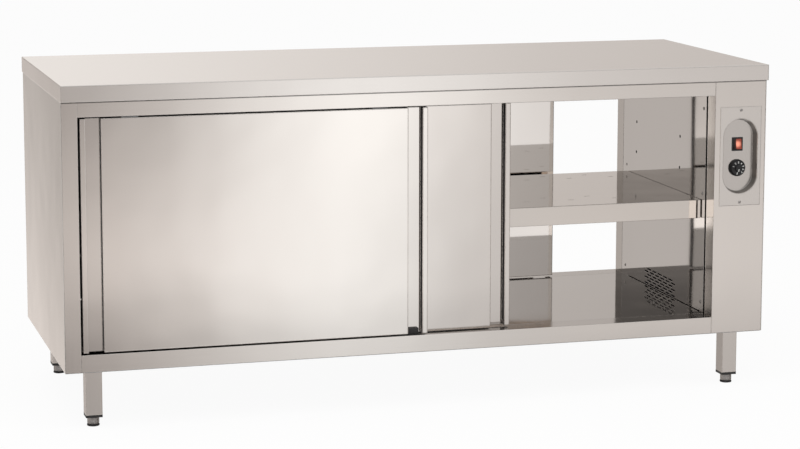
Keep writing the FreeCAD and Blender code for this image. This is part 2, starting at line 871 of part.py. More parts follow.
# Shelf: a tray turned down on all sides, whose ends are notched to drop over the wall studs
def make_shelf():
    x = (open_left + s.shelf_end_gap, open_right - s.shelf_end_gap)
    half = s.shelf_depth / 2
    y = (-half, half)
    top = base + s.shelf_top
    z = (top - s.shelf_height, top)
    tray = folded("shelf_tray", x, y, z, ["z-"], s.shelf_sheet)
    tools = []
    reach = s.stud_radius + s.run_gap
    for column, stud_y in stud_places():
        notch_z = (z[0] - s.overrun, base + s.stud_level + s.stud_radius + s.run_gap)
        past = (x[0] - s.overrun, x[1] + s.overrun)
        tools.append(block("shelf_notch_" + column, past, (stud_y - reach, stud_y + reach), notch_z))
    # Two staggered rows of short slots along each long side
    slot_half = s.shelf_slot_width / 2
    slot_z = (top - s.overrun, top + s.overrun)
    rows = (
        ("front_outer", -s.shelf_row_front, 0),
        ("front_inner", s.shelf_row_spacing - s.shelf_row_front, 1),
        ("rear_inner", s.shelf_row_rear - s.shelf_row_spacing, 0),
        ("rear_outer", s.shelf_row_rear, 1),
    )
    for row_name, row_y, fewer in rows:
        slots = SHELF_SLOT_COUNT - fewer
        first = (x[0] + x[1]) / 2 - (s.shelf_slot_pitch * (slots - 1) + s.shelf_slot_length) / 2
        for index in range(slots):
            low = first + s.shelf_slot_pitch * index
            slot_y = (row_y - slot_half, row_y + slot_half)
            name = "shelf_slot_%s_%d" % (row_name, index)
            tools.append(block(name, (low, low + s.shelf_slot_length), slot_y, slot_z))
    sharp = cut("shelf_sharp", tray, tools)
    limit = float(top)
    reach_y = float(half)

    def long_edge(edge):
        box = edge.BoundBox
        outside = abs(abs(box.Center.y) - reach_y) < TOLERANCE and abs(box.ZMin - limit) < TOLERANCE
        return outside and along(edge, FreeCAD.Vector(1, 0, 0))

    node("shelf", rounded("shelf", sharp, s.shelf_sheet, long_edge))

    studs = []
    for word, plane, sign in (("left", open_left, 1), ("right", open_right, -1)):
        for column, stud_y in stud_places():
            name = "stud_%s_%s" % (word, column)
            level = base + s.stud_level
            inside = plane if sign > 0 else plane - s.stud_reach
            reach_in = s.stud_reach
            head = facetted(name + "_head", PIN_SIDES, s.stud_radius, reach_in, inside, stud_y, level, "X")
            outside = s.sheet + s.stud_nut
            back = plane - outside if sign > 0 else plane
            shank = octagon(name + "_shank", s.stud_shank_radius, outside, back, stud_y, level, "X")
            nut_start = plane - outside if sign > 0 else plane + s.sheet
            nut = octagon(name + "_nut", s.stud_nut_radius, s.stud_nut, nut_start, stud_y, level, "X")
            studs.append(fuse(name, [head, shank, nut]))
    node("shelf_studs", group("shelf_studs", studs))


# Legs: square tube through the underside sheet with a plate on top, and a plug in each lower end
def make_legs():
    half = s.leg_side / 2
    low = base - s.leg_exposed
    tubes = []
    plugs = []
    for word, x, y in leg_corners():
        tube_x = (x - half, x + half)
        tube_y = (y - half, y + half)
        tube = folded("leg_tube_" + word, tube_x, tube_y, (low, base), ["z-", "z+"], s.leg_wall)
        soft = rounded(
            "leg_soft_" + word,
            tube,
            s.leg_break,
            lambda edge, x=x, y=y: along(edge, FreeCAD.Vector(0, 0, 1))
            and abs(abs(edge.BoundBox.Center.x - float(x)) - float(half)) < TOLERANCE
            and abs(abs(edge.BoundBox.Center.y - float(y)) - float(half)) < TOLERANCE,
            "Part::Chamfer",
        )
        reach = s.leg_plate / 2
        plate_z = (base, base + s.leg_plate_thickness)
        plate = block("leg_plate_" + word, (x - reach, x + reach), (y - reach, y + reach), plate_z)
        tubes.append(fuse("leg_" + word, [soft, plate]))
        flange_z = (low - s.plug_flange, low)
        flange = block("plug_flange_" + word, (x - half, x + half), (y - half, y + half), flange_z)
        inner = half - s.leg_wall - s.plug_gap
        insert_z = (low, low + s.plug_insert)
        insert = block("plug_insert_" + word, (x - inner, x + inner), (y - inner, y + inner), insert_z)
        bore = octagon(
            "plug_bore_" + word,
            s.stem_radius + s.stem_gap,
            s.plug_flange + s.plug_insert + s.overrun * 2,
            x,
            y,
            flange_z[0] - s.overrun,
        )
        plugs.append(cut("plug_" + word, fuse("plug_body_" + word, [flange, insert]), [bore]))
    node("legs", group("legs", tubes))
    node("leg_plugs", group("leg_plugs", plugs))


# Levelling feet: a barrel on a wider pad, with its stem up through the plug
def make_feet():
    top = s.pad_height + s.barrel_height
    for word, x, y in leg_corners():
        pad = facetted("foot_pad_" + word, WHEEL_SIDES, s.pad_radius, s.pad_height, x, y, ZERO)
        barrel = facetted(
            "foot_barrel_" + word, WHEEL_SIDES, s.barrel_radius, s.barrel_height, x, y, s.pad_height
        )
        stem = octagon("foot_stem_" + word, s.stem_radius, s.stem_length, x, y, top)
        node("foot_" + word, fuse("foot_" + word, [pad, barrel, stem]))


fascia_centre = (open_right + body_right - s.sheet - s.seam) / 2 + s.fascia_offset
fascia_floor = body_front + s.recess_depth
fascia_level = body_top - s.fascia_drop
switch_level = fascia_level + s.switch_rise
knob_level = fascia_level - s.knob_drop


# A drafted stadium solid: two cones joined by a wedge, wide at its front plane
def drafted_stadium(name, radius, half_run, front, back, draft):
    depth = back - front
    parts = []
    for end, level in (("low", fascia_level - half_run), ("high", fascia_level + half_run)):
        cone = doc.addObject("Part::Cone", "%s_%s" % (name, end))
        bind(cone, "Radius1", radius)
        bind(cone, "Radius2", radius - draft)
        bind(cone, "Height", depth)
        cone.Placement = FreeCAD.Placement(FreeCAD.Vector(), TURNS["Y"])
        place(cone, fascia_centre, front, level)
        parts.append(cone)
    wedge = doc.addObject("Part::Wedge", name + "_middle")
    for prop, size in (
        ("Xmin", -radius),
        ("Xmax", radius),
        ("X2min", draft - radius),
        ("X2max", radius - draft),
        ("Ymin", ZERO),
        ("Ymax", depth),
        ("Zmin", -half_run),
        ("Zmax", half_run),
        ("Z2min", -half_run),
        ("Z2max", half_run),
    ):
        bind(wedge, prop, size)
    place(wedge, fascia_centre, front, fascia_level)
    parts.append(wedge)
    return fuse(name, parts)


# Control fascia: a flat plate drawn back into a drafted stadium dish, pierced for the switch, the
# thermostat's bushing and its two screws
def make_fascia():
    t = s.fascia_sheet
    half_run = (s.recess_height - s.recess_width) / 2
    half_width = s.fascia_width / 2
    half_height = s.fascia_height / 2
    plate = block(
        "fascia_plate",
        (fascia_centre - half_width, fascia_centre + half_width),
        (body_front - t, body_front),
        (fascia_level - half_height, fascia_level + half_height),
    )
    radius = s.recess_width / 2
    outside = drafted_stadium(
        "fascia_dish_outside", radius + t, half_run, body_front - t, fascia_floor + t, s.recess_draft
    )
    inside = drafted_stadium(
        "fascia_dish_inside", radius, half_run, body_front - t, fascia_floor, s.recess_draft
    )

    half_w = s.switch_width / 2 + s.switch_fit
    half_h = s.switch_height / 2 + s.switch_fit
    behind = fascia_floor - s.overrun
    holes = [
        block(
            "fascia_switch_hole",
            (fascia_centre - half_w, fascia_centre + half_w),
            (behind, behind + s.overrun * 2),
            (switch_level - half_h, switch_level + half_h),
        ),
        octagon(
            "fascia_bushing_hole",
            s.bushing_radius + s.bushing_fit,
            s.overrun * 2,
            fascia_centre,
            behind,
            knob_level,
            "Y",
        ),
    ]
    for word, sign in (("low", -1), ("high", 1)):
        level = fascia_level + s.fascia_screw_span / 2 * sign
        name = "fascia_hole_" + word
        start = body_front - s.overrun
        holes.append(octagon(name, s.screw_hole_radius, s.overrun * 2, fascia_centre, start, level, "Y"))
    node("control_fascia", cut("control_fascia", fuse("fascia_solid", [plate, outside]), [inside] + holes))


# Screws: pan heads on the fascia and on both inner walls
def make_screws():
    screws = []
    for word, sign in (("low", -1), ("high", 1)):
        level = fascia_level + s.fascia_screw_span / 2 * sign
        face = body_front - s.fascia_sheet
        name = "fascia_screw_" + word
        head_y = face - s.screw_head
        head = octagon(name + "_head", s.screw_head_radius, s.screw_head, fascia_centre, head_y, level, "Y")
        shank = octagon(name + "_shank", s.screw_radius, s.screw_length, fascia_centre, face, level, "Y")
        screws.append(fuse(name, [head, shank]))
    for word, plane, sign in (("left", open_left, 1), ("right", open_right, -1)):
        for place_name, y, level in wall_screw_places():
            name = "%s_screw_%s" % (word, place_name)
            head_x = plane if sign > 0 else plane - s.screw_head
            shank_x = plane - s.screw_length if sign > 0 else plane
            head = octagon(name + "_head", s.screw_head_radius, s.screw_head, head_x, y, level, "X")
            shank = octagon(name + "_shank", s.screw_radius, s.screw_length, shank_x, y, level, "X")
            screws.append(fuse(name, [head, shank]))
    node("panel_screws", group("panel_screws", screws))


# Rocker switch: a bezelled housing with a well, and a rocker on two pivot pins in it
def make_switch():
    level = switch_level
    face = fascia_floor - s.bezel_thickness
    half_w = s.bezel_width / 2
    half_h = s.bezel_height / 2
    bezel = block(
        "switch_bezel",
        (fascia_centre - half_w, fascia_centre + half_w),
        (face, fascia_floor),
        (level - half_h, level + half_h),
    )
    body_w = s.switch_width / 2
    body_h = s.switch_height / 2
    can = block(
        "switch_can",
        (fascia_centre - body_w, fascia_centre + body_w),
        (face, face + s.switch_depth),
        (level - body_h, level + body_h),
    )
    well_w = s.rocker_width / 2 + s.rocker_gap
    well_h = s.rocker_height / 2 + s.rocker_gap
    well = block(
        "switch_well",
        (fascia_centre - well_w, fascia_centre + well_w),
        (face - s.overrun, face + s.well_depth),
        (level - well_h, level + well_h),
    )
    pin_reach = s.rocker_width / 2 + s.pivot_length
    pin_depth = face + s.pivot_depth
    bore = octagon(
        "switch_pivot_bore",
        s.pivot_radius + s.pivot_fit,
        (pin_reach + s.rocker_gap / 2) * 2,
        fascia_centre - pin_reach - s.rocker_gap / 2,
        pin_depth,
        level,
        "X",
    )
    node("switch_housing", cut("switch_housing", fuse("switch_solid", [bezel, can]), [well, bore]))

    # The rocker's side outline: a shallow V across the top, round about its pivot below
    half = s.rocker_height / 2
    rocker_body = padded(
        "rocker_blade",
        "YZ_Plane",
        [
            (s.rocker_body, -(half * rocker_belly_share)),
            (s.rocker_body, half * rocker_belly_share),
            (-(s.pivot_depth / 2), half),
            (-(s.rocker_edge + s.pivot_depth / 2), half),
            (-(s.rocker_edge), ZERO),
            (-(s.rocker_edge + s.pivot_depth / 2), -half),
            (-(s.pivot_depth / 2), -half),
        ],
        s.rocker_width,
    )
    place(rocker_body, -(s.rocker_width / 2), ZERO, ZERO)
    pins = rod("rocker_pins", s.pivot_radius, pin_reach * 2, -pin_reach, ZERO, ZERO, "X")
    rocker = fuse("rocker", [rocker_body, pins])
    rocker.Placement = FreeCAD.Placement(
        FreeCAD.Vector(), FreeCAD.Rotation(FreeCAD.Vector(1, 0, 0), ROCKER_TILT_DEG)
    )
    place(rocker, fascia_centre, pin_depth, level)
    node("rocker", rocker)


# Thermostat behind the dish, and its knob, whose spindle turns in the thermostat's bushing
def make_thermostat():
    level = knob_level
    back = fascia_floor + s.fascia_sheet
    half_w = s.thermostat_width / 2
    half_h = s.thermostat_height / 2
    can = block(
        "thermostat_can",
        (fascia_centre - half_w, fascia_centre + half_w),
        (back, back + s.thermostat_depth),
        (level - half_h, level + half_h),
    )
    front = fascia_floor - s.bushing_length
    reach = s.bushing_length + s.fascia_sheet + s.thermostat_depth / 2
    bushing = facetted(
        "thermostat_bushing", PIN_SIDES, s.bushing_radius, reach, fascia_centre, front, level, "Y"
    )
    bore = rod(
        "thermostat_bore",
        s.spindle_radius + s.spindle_fit,
        s.spindle_depth + s.run_gap + s.overrun,
        fascia_centre,
        front - s.overrun,
        level,
        "Y",
    )
    node("thermostat", cut("thermostat", fuse("thermostat_solid", [can, bushing]), [bore]))

    # The knob: a wide grip on a round spindle that reaches into the bushing
    grip_back = front - s.knob_gap
    grip_front = grip_back - s.knob_height
    spindle_length = s.spindle_depth + s.knob_gap + s.knob_height / 2
    spindle_start = grip_back - s.knob_height / 2
    grip = facetted(
        "knob_grip", KNOB_SIDES, s.knob_radius, s.knob_height, fascia_centre, grip_front, level, "Y"
    )
    spindle = rod(
        "knob_spindle", s.spindle_radius, spindle_length, fascia_centre, spindle_start, level, "Y"
    )
    node("knob", fuse("knob", [grip, spindle]))


duct_level = base + s.duct_level
duct_start = open_right + s.sheet + s.duct_wall_gap
shaft_x = duct_start + s.duct_reach


# Fan housing: a flat duct behind the grille that ends in a half round shell about the impeller
def make_fan_housing():
    half = s.duct_height / 2
    y = (s.vent_centre - s.duct_length / 2, s.vent_centre + s.duct_length / 2)
    outer = fuse(
        "duct_outer",
        [
            block("duct_box", (duct_start, shaft_x), y, (duct_level - half, duct_level + half)),
            rod("duct_round", half, s.duct_length, shaft_x, y[0], duct_level, "Y"),
        ],
    )
    inner_half = half - s.duct_sheet
    inner_y = (y[0] + s.duct_sheet, y[1] - s.duct_sheet)
    inner = fuse(
        "duct_inner",
        [
            block(
                "duct_box_inside",
                (duct_start - s.overrun, shaft_x),
                inner_y,
                (duct_level - inner_half, duct_level + inner_half),
            ),
            rod(
                "duct_round_inside",
                inner_half,
                inner_y[1] - inner_y[0],
                shaft_x,
                inner_y[0],
                duct_level,
                "Y",
            ),
        ],
    )
    inlet = block(
        "duct_inlet_window",
        (shaft_x, shaft_x + s.duct_inlet),
        (inner_y[0] + s.overrun, inner_y[1] - s.overrun),
        (duct_level, duct_level + s.duct_inlet),
    )
    holes = [
        octagon(
            "duct_shaft_hole",
            s.shaft_radius + s.bushing_fit,
            s.duct_length + s.overrun * 2,
            shaft_x,
            y[0] - s.overrun,
            duct_level,
            "Y",
        )
    ]
    for sign in (-1, 1):
        level = duct_level + s.element_spacing / 2 * sign
        holes.append(
            octagon(
                "duct_element_hole_%s" % ("low" if sign < 0 else "high"),
                s.element_radius + s.element_fit,
                s.overrun * 2,
                duct_start + s.element_reach,
                y[0] - s.overrun,
                level,
                "Y",
            )
        )
    node("fan_housing", cut("fan_housing", outer, [inner, inlet] + holes))


# Heating element: a hairpin across the duct, its two tails out through the front end plate
def make_element():
    x = duct_start + s.element_reach
    start = s.vent_centre - s.duct_length / 2 - s.element_tail
    bend_y = s.vent_centre + s.duct_length / 2 - s.duct_sheet - s.element_spacing
    half = s.element_spacing / 2
    low = duct_level - half
    high = duct_level + half
    radius = s.element_radius
    parts = [octagon("element_bend", radius, s.element_spacing, x, bend_y, low)]
    for word, level in (("low", low), ("high", high)):
        parts.append(octagon("element_run_" + word, radius, bend_y - start, x, start, level, "Y"))
        parts.append(octagon("element_corner_" + word, radius, radius * 2, x - radius, bend_y, level, "X"))
    node("heating_element", fuse("heating_element", parts))


# Impeller: a ring of bowed blades between two end discs, on its own shaft
def make_impeller():
    radius = s.impeller_radius
    inner = radius - s.blade_width
    middle = inner + s.blade_width / 2
    thick = s.blade_thickness
    bow = s.blade_bow
    wheel = s.duct_length - s.impeller_end_gap * 2
    body = padded(
        "impeller_blades",
        "XZ_Plane",
        [
            (inner, ZERO),
            (middle, bow),
            (radius, ZERO),
            (radius, thick),
            (middle, bow + thick),
            (inner, thick),
        ],
        wheel,
    )
    pad = body.Tip
    pad.Reversed = True
    ring = body.newObject("PartDesign::PolarPattern", "impeller_ring")
    ring.Originals = [pad]
    axis = [item for item in body.Origin.OriginFeatures if item.Role == "Y_Axis"][0]
    ring.Axis = (axis, [""])
    ring.Angle = 360.0
    ring.Occurrences = BLADE_COUNT
    body.Tip = ring
    far = wheel - s.impeller_disc
    discs = [
        facetted("impeller_disc_front", WHEEL_SIDES, radius, s.impeller_disc, ZERO, ZERO, ZERO, "Y"),
        facetted("impeller_disc_rear", WHEEL_SIDES, radius, s.impeller_disc, ZERO, far, ZERO, "Y"),
    ]
    nose = s.impeller_end_gap + s.shaft_nose
    length = nose + wheel + s.impeller_end_gap + s.shaft_tail
    shaft = rod("impeller_shaft", s.shaft_radius, length, ZERO, -nose, ZERO, "Y")
    impeller = fuse("fan_impeller", [body] + discs + [shaft])
    place(impeller, shaft_x, s.vent_centre - wheel / 2, duct_level)
    node("fan_impeller", impeller)


# Fan motor: a laminated stack with its coil, on the rear end of the housing
def make_motor():
    start = s.vent_centre + s.duct_length / 2
    half_w = s.motor_width / 2
    half_h = s.motor_height / 2
    stack = block(
        "motor_stack",
        (shaft_x - half_w, shaft_x + half_w),
        (start, start + s.motor_depth),
        (duct_level - half_h, duct_level + half_h),
    )
    coil_y = start + s.motor_depth / 2
    coil_z = duct_level + half_h + s.motor_coil_radius * coil_seat_share
    coil = octagon(
        "motor_coil", s.motor_coil_radius, s.motor_coil, shaft_x - s.motor_coil / 2, coil_y, coil_z, "X"
    )
    bore = rod(
        "motor_bore",
        s.shaft_radius + s.shaft_fit,
        s.shaft_tail + s.overrun * 2,
        shaft_x,
        start - s.overrun,
        duct_level,
        "Y",
    )
    node("fan_motor", cut("fan_motor", fuse("motor_solid", [stack, coil]), [bore]))


gland_x = body_right - s.gland_inset_side
gland_y = -body_front - s.gland_inset_rear


# Cable gland in the underside: hexagon and cap below, thread and locknut above
def make_gland():
    under = base - s.sheet
    hexagon = doc.addObject("Part::Prism", "gland_hexagon")
    hexagon.Polygon = 6
    bind(hexagon, "Circumradius", s.gland_nut_radius)
    bind(hexagon, "Height", s.gland_nut)
    place(hexagon, gland_x, gland_y, under - s.gland_nut)
    cap_low = under - s.gland_nut - s.gland_cap
    cap = facetted("gland_cap", WHEEL_SIDES, s.gland_cap_radius, s.gland_cap, gland_x, gland_y, cap_low)
    thread = facetted(
        "gland_thread", WHEEL_SIDES, s.gland_thread_radius, s.gland_thread, gland_x, gland_y, under
    )
    locknut = doc.addObject("Part::Prism", "gland_locknut")
    locknut.Polygon = 6
    bind(locknut, "Circumradius", s.gland_nut_radius)
    bind(locknut, "Height", s.gland_locknut)
    place(locknut, gland_x, gland_y, base)
    bore_low = under - s.gland_nut - s.gland_cap - s.overrun
    bore_length = s.gland_nut + s.gland_cap + s.gland_thread + s.overrun * 2
    bore = rod("gland_bore_tool", s.gland_bore, bore_length, gland_x, gland_y, bore_low)
    solid = fuse("gland_solid", [hexagon, cap, thread, locknut])
    node("cable_gland", cut("cable_gland", solid, [bore]))


make_worktop()
make_side_panel("left_side_panel", (body_left, body_left + s.side_flange), "x+")
make_side_panel("right_side_panel", (body_right - s.side_flange, body_right), "x-")
make_posts()
make_rails()
make_underside()
make_lining()
make_insulation()
make_tracks()
make_guides()
make_door(FRONT, "front_left_door", s.front_left_door_start, 0)
make_door(FRONT, "front_right_door", s.front_right_door_start, 1)
make_door(REAR, "rear_left_door", s.rear_left_door_start, 0)
make_door(REAR, "rear_right_door", s.rear_right_door_start, 1)
make_shelf()
make_legs()
make_feet()
make_fascia()
make_screws()
make_switch()
make_thermostat()
make_fan_housing()
make_element()
make_impeller()
make_motor()
make_gland()
doc.recompute()

failed = [item.Name for item in doc.Objects if "Invalid" in item.State or "Error" in item.State]
if failed:
    raise RuntimeError("objects that did not recompute: " + ", ".join(failed))
for name, thing in nodes.items():
    if thing.Shape.isNull() or not thing.Shape.isValid() or not thing.Shape.Solids:
        raise RuntimeError("no valid solid in " + name)

os.makedirs("parts", exist_ok=True)
for name, thing in nodes.items():
    thing.Shape.exportStep("parts/%s.step" % name)
print(len(nodes), "sub-parts,", sum(len(thing.Shape.Solids) for thing in nodes.values()), "solids")
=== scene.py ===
# Plate warmer cabinet: finishes, small parts, floor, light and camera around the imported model.
import math

import bmesh
import bpy
from mathutils import Matrix, Vector


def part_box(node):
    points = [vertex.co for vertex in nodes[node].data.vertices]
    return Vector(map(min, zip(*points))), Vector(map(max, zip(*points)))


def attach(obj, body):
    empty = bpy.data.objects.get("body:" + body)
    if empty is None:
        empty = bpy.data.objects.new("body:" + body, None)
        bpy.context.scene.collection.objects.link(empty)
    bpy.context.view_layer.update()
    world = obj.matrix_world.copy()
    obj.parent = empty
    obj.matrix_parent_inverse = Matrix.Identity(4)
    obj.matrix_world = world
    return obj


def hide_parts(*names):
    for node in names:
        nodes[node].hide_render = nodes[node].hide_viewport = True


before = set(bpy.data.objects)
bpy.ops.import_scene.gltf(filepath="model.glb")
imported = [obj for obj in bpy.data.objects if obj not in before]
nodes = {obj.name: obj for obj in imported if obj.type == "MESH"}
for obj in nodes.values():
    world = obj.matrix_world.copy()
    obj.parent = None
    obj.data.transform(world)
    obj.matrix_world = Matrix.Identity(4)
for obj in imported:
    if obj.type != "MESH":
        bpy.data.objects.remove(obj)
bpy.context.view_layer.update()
print("frame loaded:", len(nodes), "nodes")


# Shader maths: a Wire is one output socket, and sums on it add Math nodes

class Wire:
    def __init__(self, sheet, socket):
        self.sheet = sheet
        self.socket = socket

    def maths(self, operation, *values):
        return self.sheet.add("ShaderNodeMath", {"operation": operation}, dict(enumerate(values)))

    def __add__(self, other):
        return self.maths("ADD", self, other)

    def __sub__(self, other):
        return self.maths("SUBTRACT", self, other)

    def __mul__(self, other):
        return self.maths("MULTIPLY", self, other)

    def __truediv__(self, other):
        return self.maths("DIVIDE", self, other)

    def __rsub__(self, other):
        return self.maths("SUBTRACT", other, self)

    def __rtruediv__(self, other):
        return self.maths("DIVIDE", other, self)

    def __pow__(self, other):
        return self.maths("POWER", self, other)

    def __rpow__(self, other):
        return self.maths("POWER", other, self)

    def __gt__(self, other):
        return self.maths("GREATER_THAN", self, other)

    def __lt__(self, other):
        return self.maths("LESS_THAN", self, other)

    def __abs__(self):
        return self.maths("ABSOLUTE", self)

    __radd__ = __add__
    __rmul__ = __mul__

    def clamped(self):
        return self.sheet.add("ShaderNodeClamp", {}, {"Value": self})

    def smooth(self, low, high):
        settings = {"interpolation_type": "SMOOTHSTEP"}
        sockets = {"Value": self, "From Min": low, "From Max": high}
        return self.sheet.add("ShaderNodeMapRange", settings, sockets)


class Sheet:
    def __init__(self, owner):
        owner.use_nodes = True
        self.tree = owner.node_tree
        self.tree.nodes.clear()

    def add(self, kind, settings, sockets, out=0):
        made = self.tree.nodes.new(kind)
        for key, value in settings.items():
            if key == "stops":
                self.setStops(made.color_ramp, value)
            else:
                setattr(made, key, value)
        for key, value in sockets.items():
            if isinstance(value, Wire):
                self.tree.links.new(value.socket, made.inputs[key])
            else:
                made.inputs[key].default_value = value
        return Wire(self, made.outputs[out]) if made.outputs else made

    def setStops(self, ramp, stops):
        while len(ramp.elements) < len(stops):
            ramp.elements.new(1.0)
        for element, (place, colour) in zip(ramp.elements, stops):
            element.position = place
            element.color = colour

    def place(self, stretch=(1.0, 1.0, 1.0)):
        spot = self.add("ShaderNodeTexCoord", {}, {}, "Object")
        return self.add("ShaderNodeMapping", {}, {"Vector": spot, "Scale": stretch})

    def axes(self):
        spot = self.add("ShaderNodeTexCoord", {}, {}, "Object")
        return [self.add("ShaderNodeSeparateXYZ", {}, {"Vector": spot}, axis) for axis in "XYZ"]

    def noise(self, where, scale, detail=2.0, rough=0.5):
        sockets = {"Vector": where, "Scale": scale, "Detail": detail, "Roughness": rough}
        return self.add("ShaderNodeTexNoise", {}, sockets, "Fac")

    def ripple(self, where, pace):
        return self.add("ShaderNodeMath", {"operation": "SINE"}, {0: where * pace}) * 0.5 + 0.5

    def mix(self, share, low, high):
        settings = {"data_type": "RGBA"}
        return self.add("ShaderNodeMix", settings, {0: share, 6: low, 7: high}, 2)

    def bump(self, height, strength, distance, bend=None):
        sockets = {"Height": height, "Strength": strength, "Distance": distance}
        if bend:
            sockets["Normal"] = self.add("ShaderNodeBevel", {"samples": 6}, {"Radius": bend})
        return self.add("ShaderNodeBump", {}, sockets)

    def surface(self, sockets):
        shader = self.add("ShaderNodeBsdfPrincipled", {}, sockets)
        self.add("ShaderNodeOutputMaterial", {}, {"Surface": shader})


def grey(level):
    return (level, level, level, 1.0)


def shade(colour, factor):
    return tuple(min(1.0, part * factor) for part in colour[:3]) + (1.0,)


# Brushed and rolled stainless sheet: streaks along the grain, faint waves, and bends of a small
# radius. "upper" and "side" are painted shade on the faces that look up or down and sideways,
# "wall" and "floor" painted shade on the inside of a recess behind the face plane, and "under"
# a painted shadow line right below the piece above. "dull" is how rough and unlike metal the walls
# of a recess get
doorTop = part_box("front_top_rail")[0].z
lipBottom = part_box("worktop")[0].z
plateFace = -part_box("control_fascia")[0].y
outerFace = -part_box("front_left_door_shell")[0].y
innerFace = -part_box("front_right_door_shell")[0].y
bodyTone = (0.85, 0.80, 0.755)
doorSheet = {
    "rough": 0.06,
    "grain": "Z",
    "streak": 0.012,
    "wave": 0.8,
    "bend": 0.003,
    # painted shadow line on the door just below the top rail
    "under": doorTop,
    # painted shade in the finger channel: darker walls and floor, the walls also rough and unlike
    # metal
    "sunk": (0.0015, 0.005),
    "wall": 0.03,
    "floor": 0.94,
    "dull": 0.9,
}
bodySheet = {
    "tone": bodyTone,
    "rough": 0.11,
    "grain": "Z",
    "streak": 0.018,
    "wave": 0.6,
    "bend": 0.0022,
}
steels = {
    "worktopBrushed": {
        "tone": (0.857, 0.813, 0.775),
        "rough": 0.15,
        "grain": "X",
        "streak": 0.022,
        "wave": 0.5,
        "bend": 0.003,
    },
    "outerDoor": {**doorSheet, "tone": bodyTone, "face": outerFace},
    # innerDoor is the same steel painted darker: painted shade on the doors of the inner track
    "innerDoor": {**doorSheet, "tone": (0.776, 0.724, 0.683), "face": innerFace},
    "doorBack": {
        "tone": (0.965, 0.92, 0.88),
        "rough": 0.03,
        "grain": "Z",
        "streak": 0.006,
        "wave": 0.4,
        "bend": 0.001,
    },
    "railBrushed": {
        "tone": bodyTone,
        "rough": 0.11,
        "grain": "X",
        "streak": 0.024,
        "wave": 0.5,
        "bend": 0.0022,
        # painted shade on the rail's faces that look up or down, and a painted shadow line below the
        # worktop lip
        "upper": 0.62,
        "under": lipBottom,
    },
    "sideBrushed": {**bodySheet, "tone": (0.822, 0.80, 0.764)},
    # painted shadow line below the worktop lip
    "columnBrushed": {**bodySheet, "under": lipBottom},
    # painted shade on the rear column's sideways faces, and a painted shadow line below the worktop
    # lip
    "rearColumnBrushed": {**bodySheet, "under": lipBottom, "side": 0.66},
    "liningRolled": {
        "tone": (0.555, 0.525, 0.50),
        "rough": 0.06,
        "grain": "X",
        "streak": 0.012,
        "wave": 0.8,
        "bend": 0.001,
    },
    "wallRolled": {
        "tone": (0.635, 0.61, 0.59),
        "rough": 0.05,
        "grain": "Z",
        "streak": 0.01,
        "wave": 0.6,
        "bend": 0.001,
    },
    "shelfBrushed": {
        "tone": (0.72, 0.67, 0.625),
        "rough": 0.07,
        "grain": "X",
        "streak": 0.03,
        "wave": 0.8,
        "bend": 0.002,
    },
    "legBrushed": {
        "tone": (0.77, 0.722, 0.68),
        "rough": 0.17,
        "grain": "Z",
        "streak": 0.03,
        "wave": 0.2,
        "bend": 0.0016,
        # painted shade on the leg's sideways faces
        "side": 0.62,
    },
    "fasciaSatin": {
        "tone": (0.83, 0.785, 0.745),
        "rough": 0.20,
        "grain": "Z",
        "streak": 0.01,
        "wave": 0.3,
        "bend": 0.0026,
        "face": plateFace,
        # painted shade on the walls and floor of the recess in the plate
        "sunk": (0.0016, 0.005),
        "wall": 0.30,
        "floor": 0.84,
    },
}

# The grain itself: texture scales per metre along and across it, and how strongly it shows
grainLook = {
    "broad": (1.2, 160.0),
    "hair": (7.2, 900.0),
    "broadShare": 1.4,
    "hairShare": 0.8,
    "contrast": 12,
    "shades": (0.96, 1.04),
    "cloud": 3.0,
    "cloudShare": 0.2,
    "smear": 14.0,
    "smearShare": 0.02,
    # Painted shadow line below the piece above: where it starts and ends below that edge, and how dark
    "lineAbove": 0.0015,
    "lineBelow": 0.0045,
    "lineShade": 0.15,
}


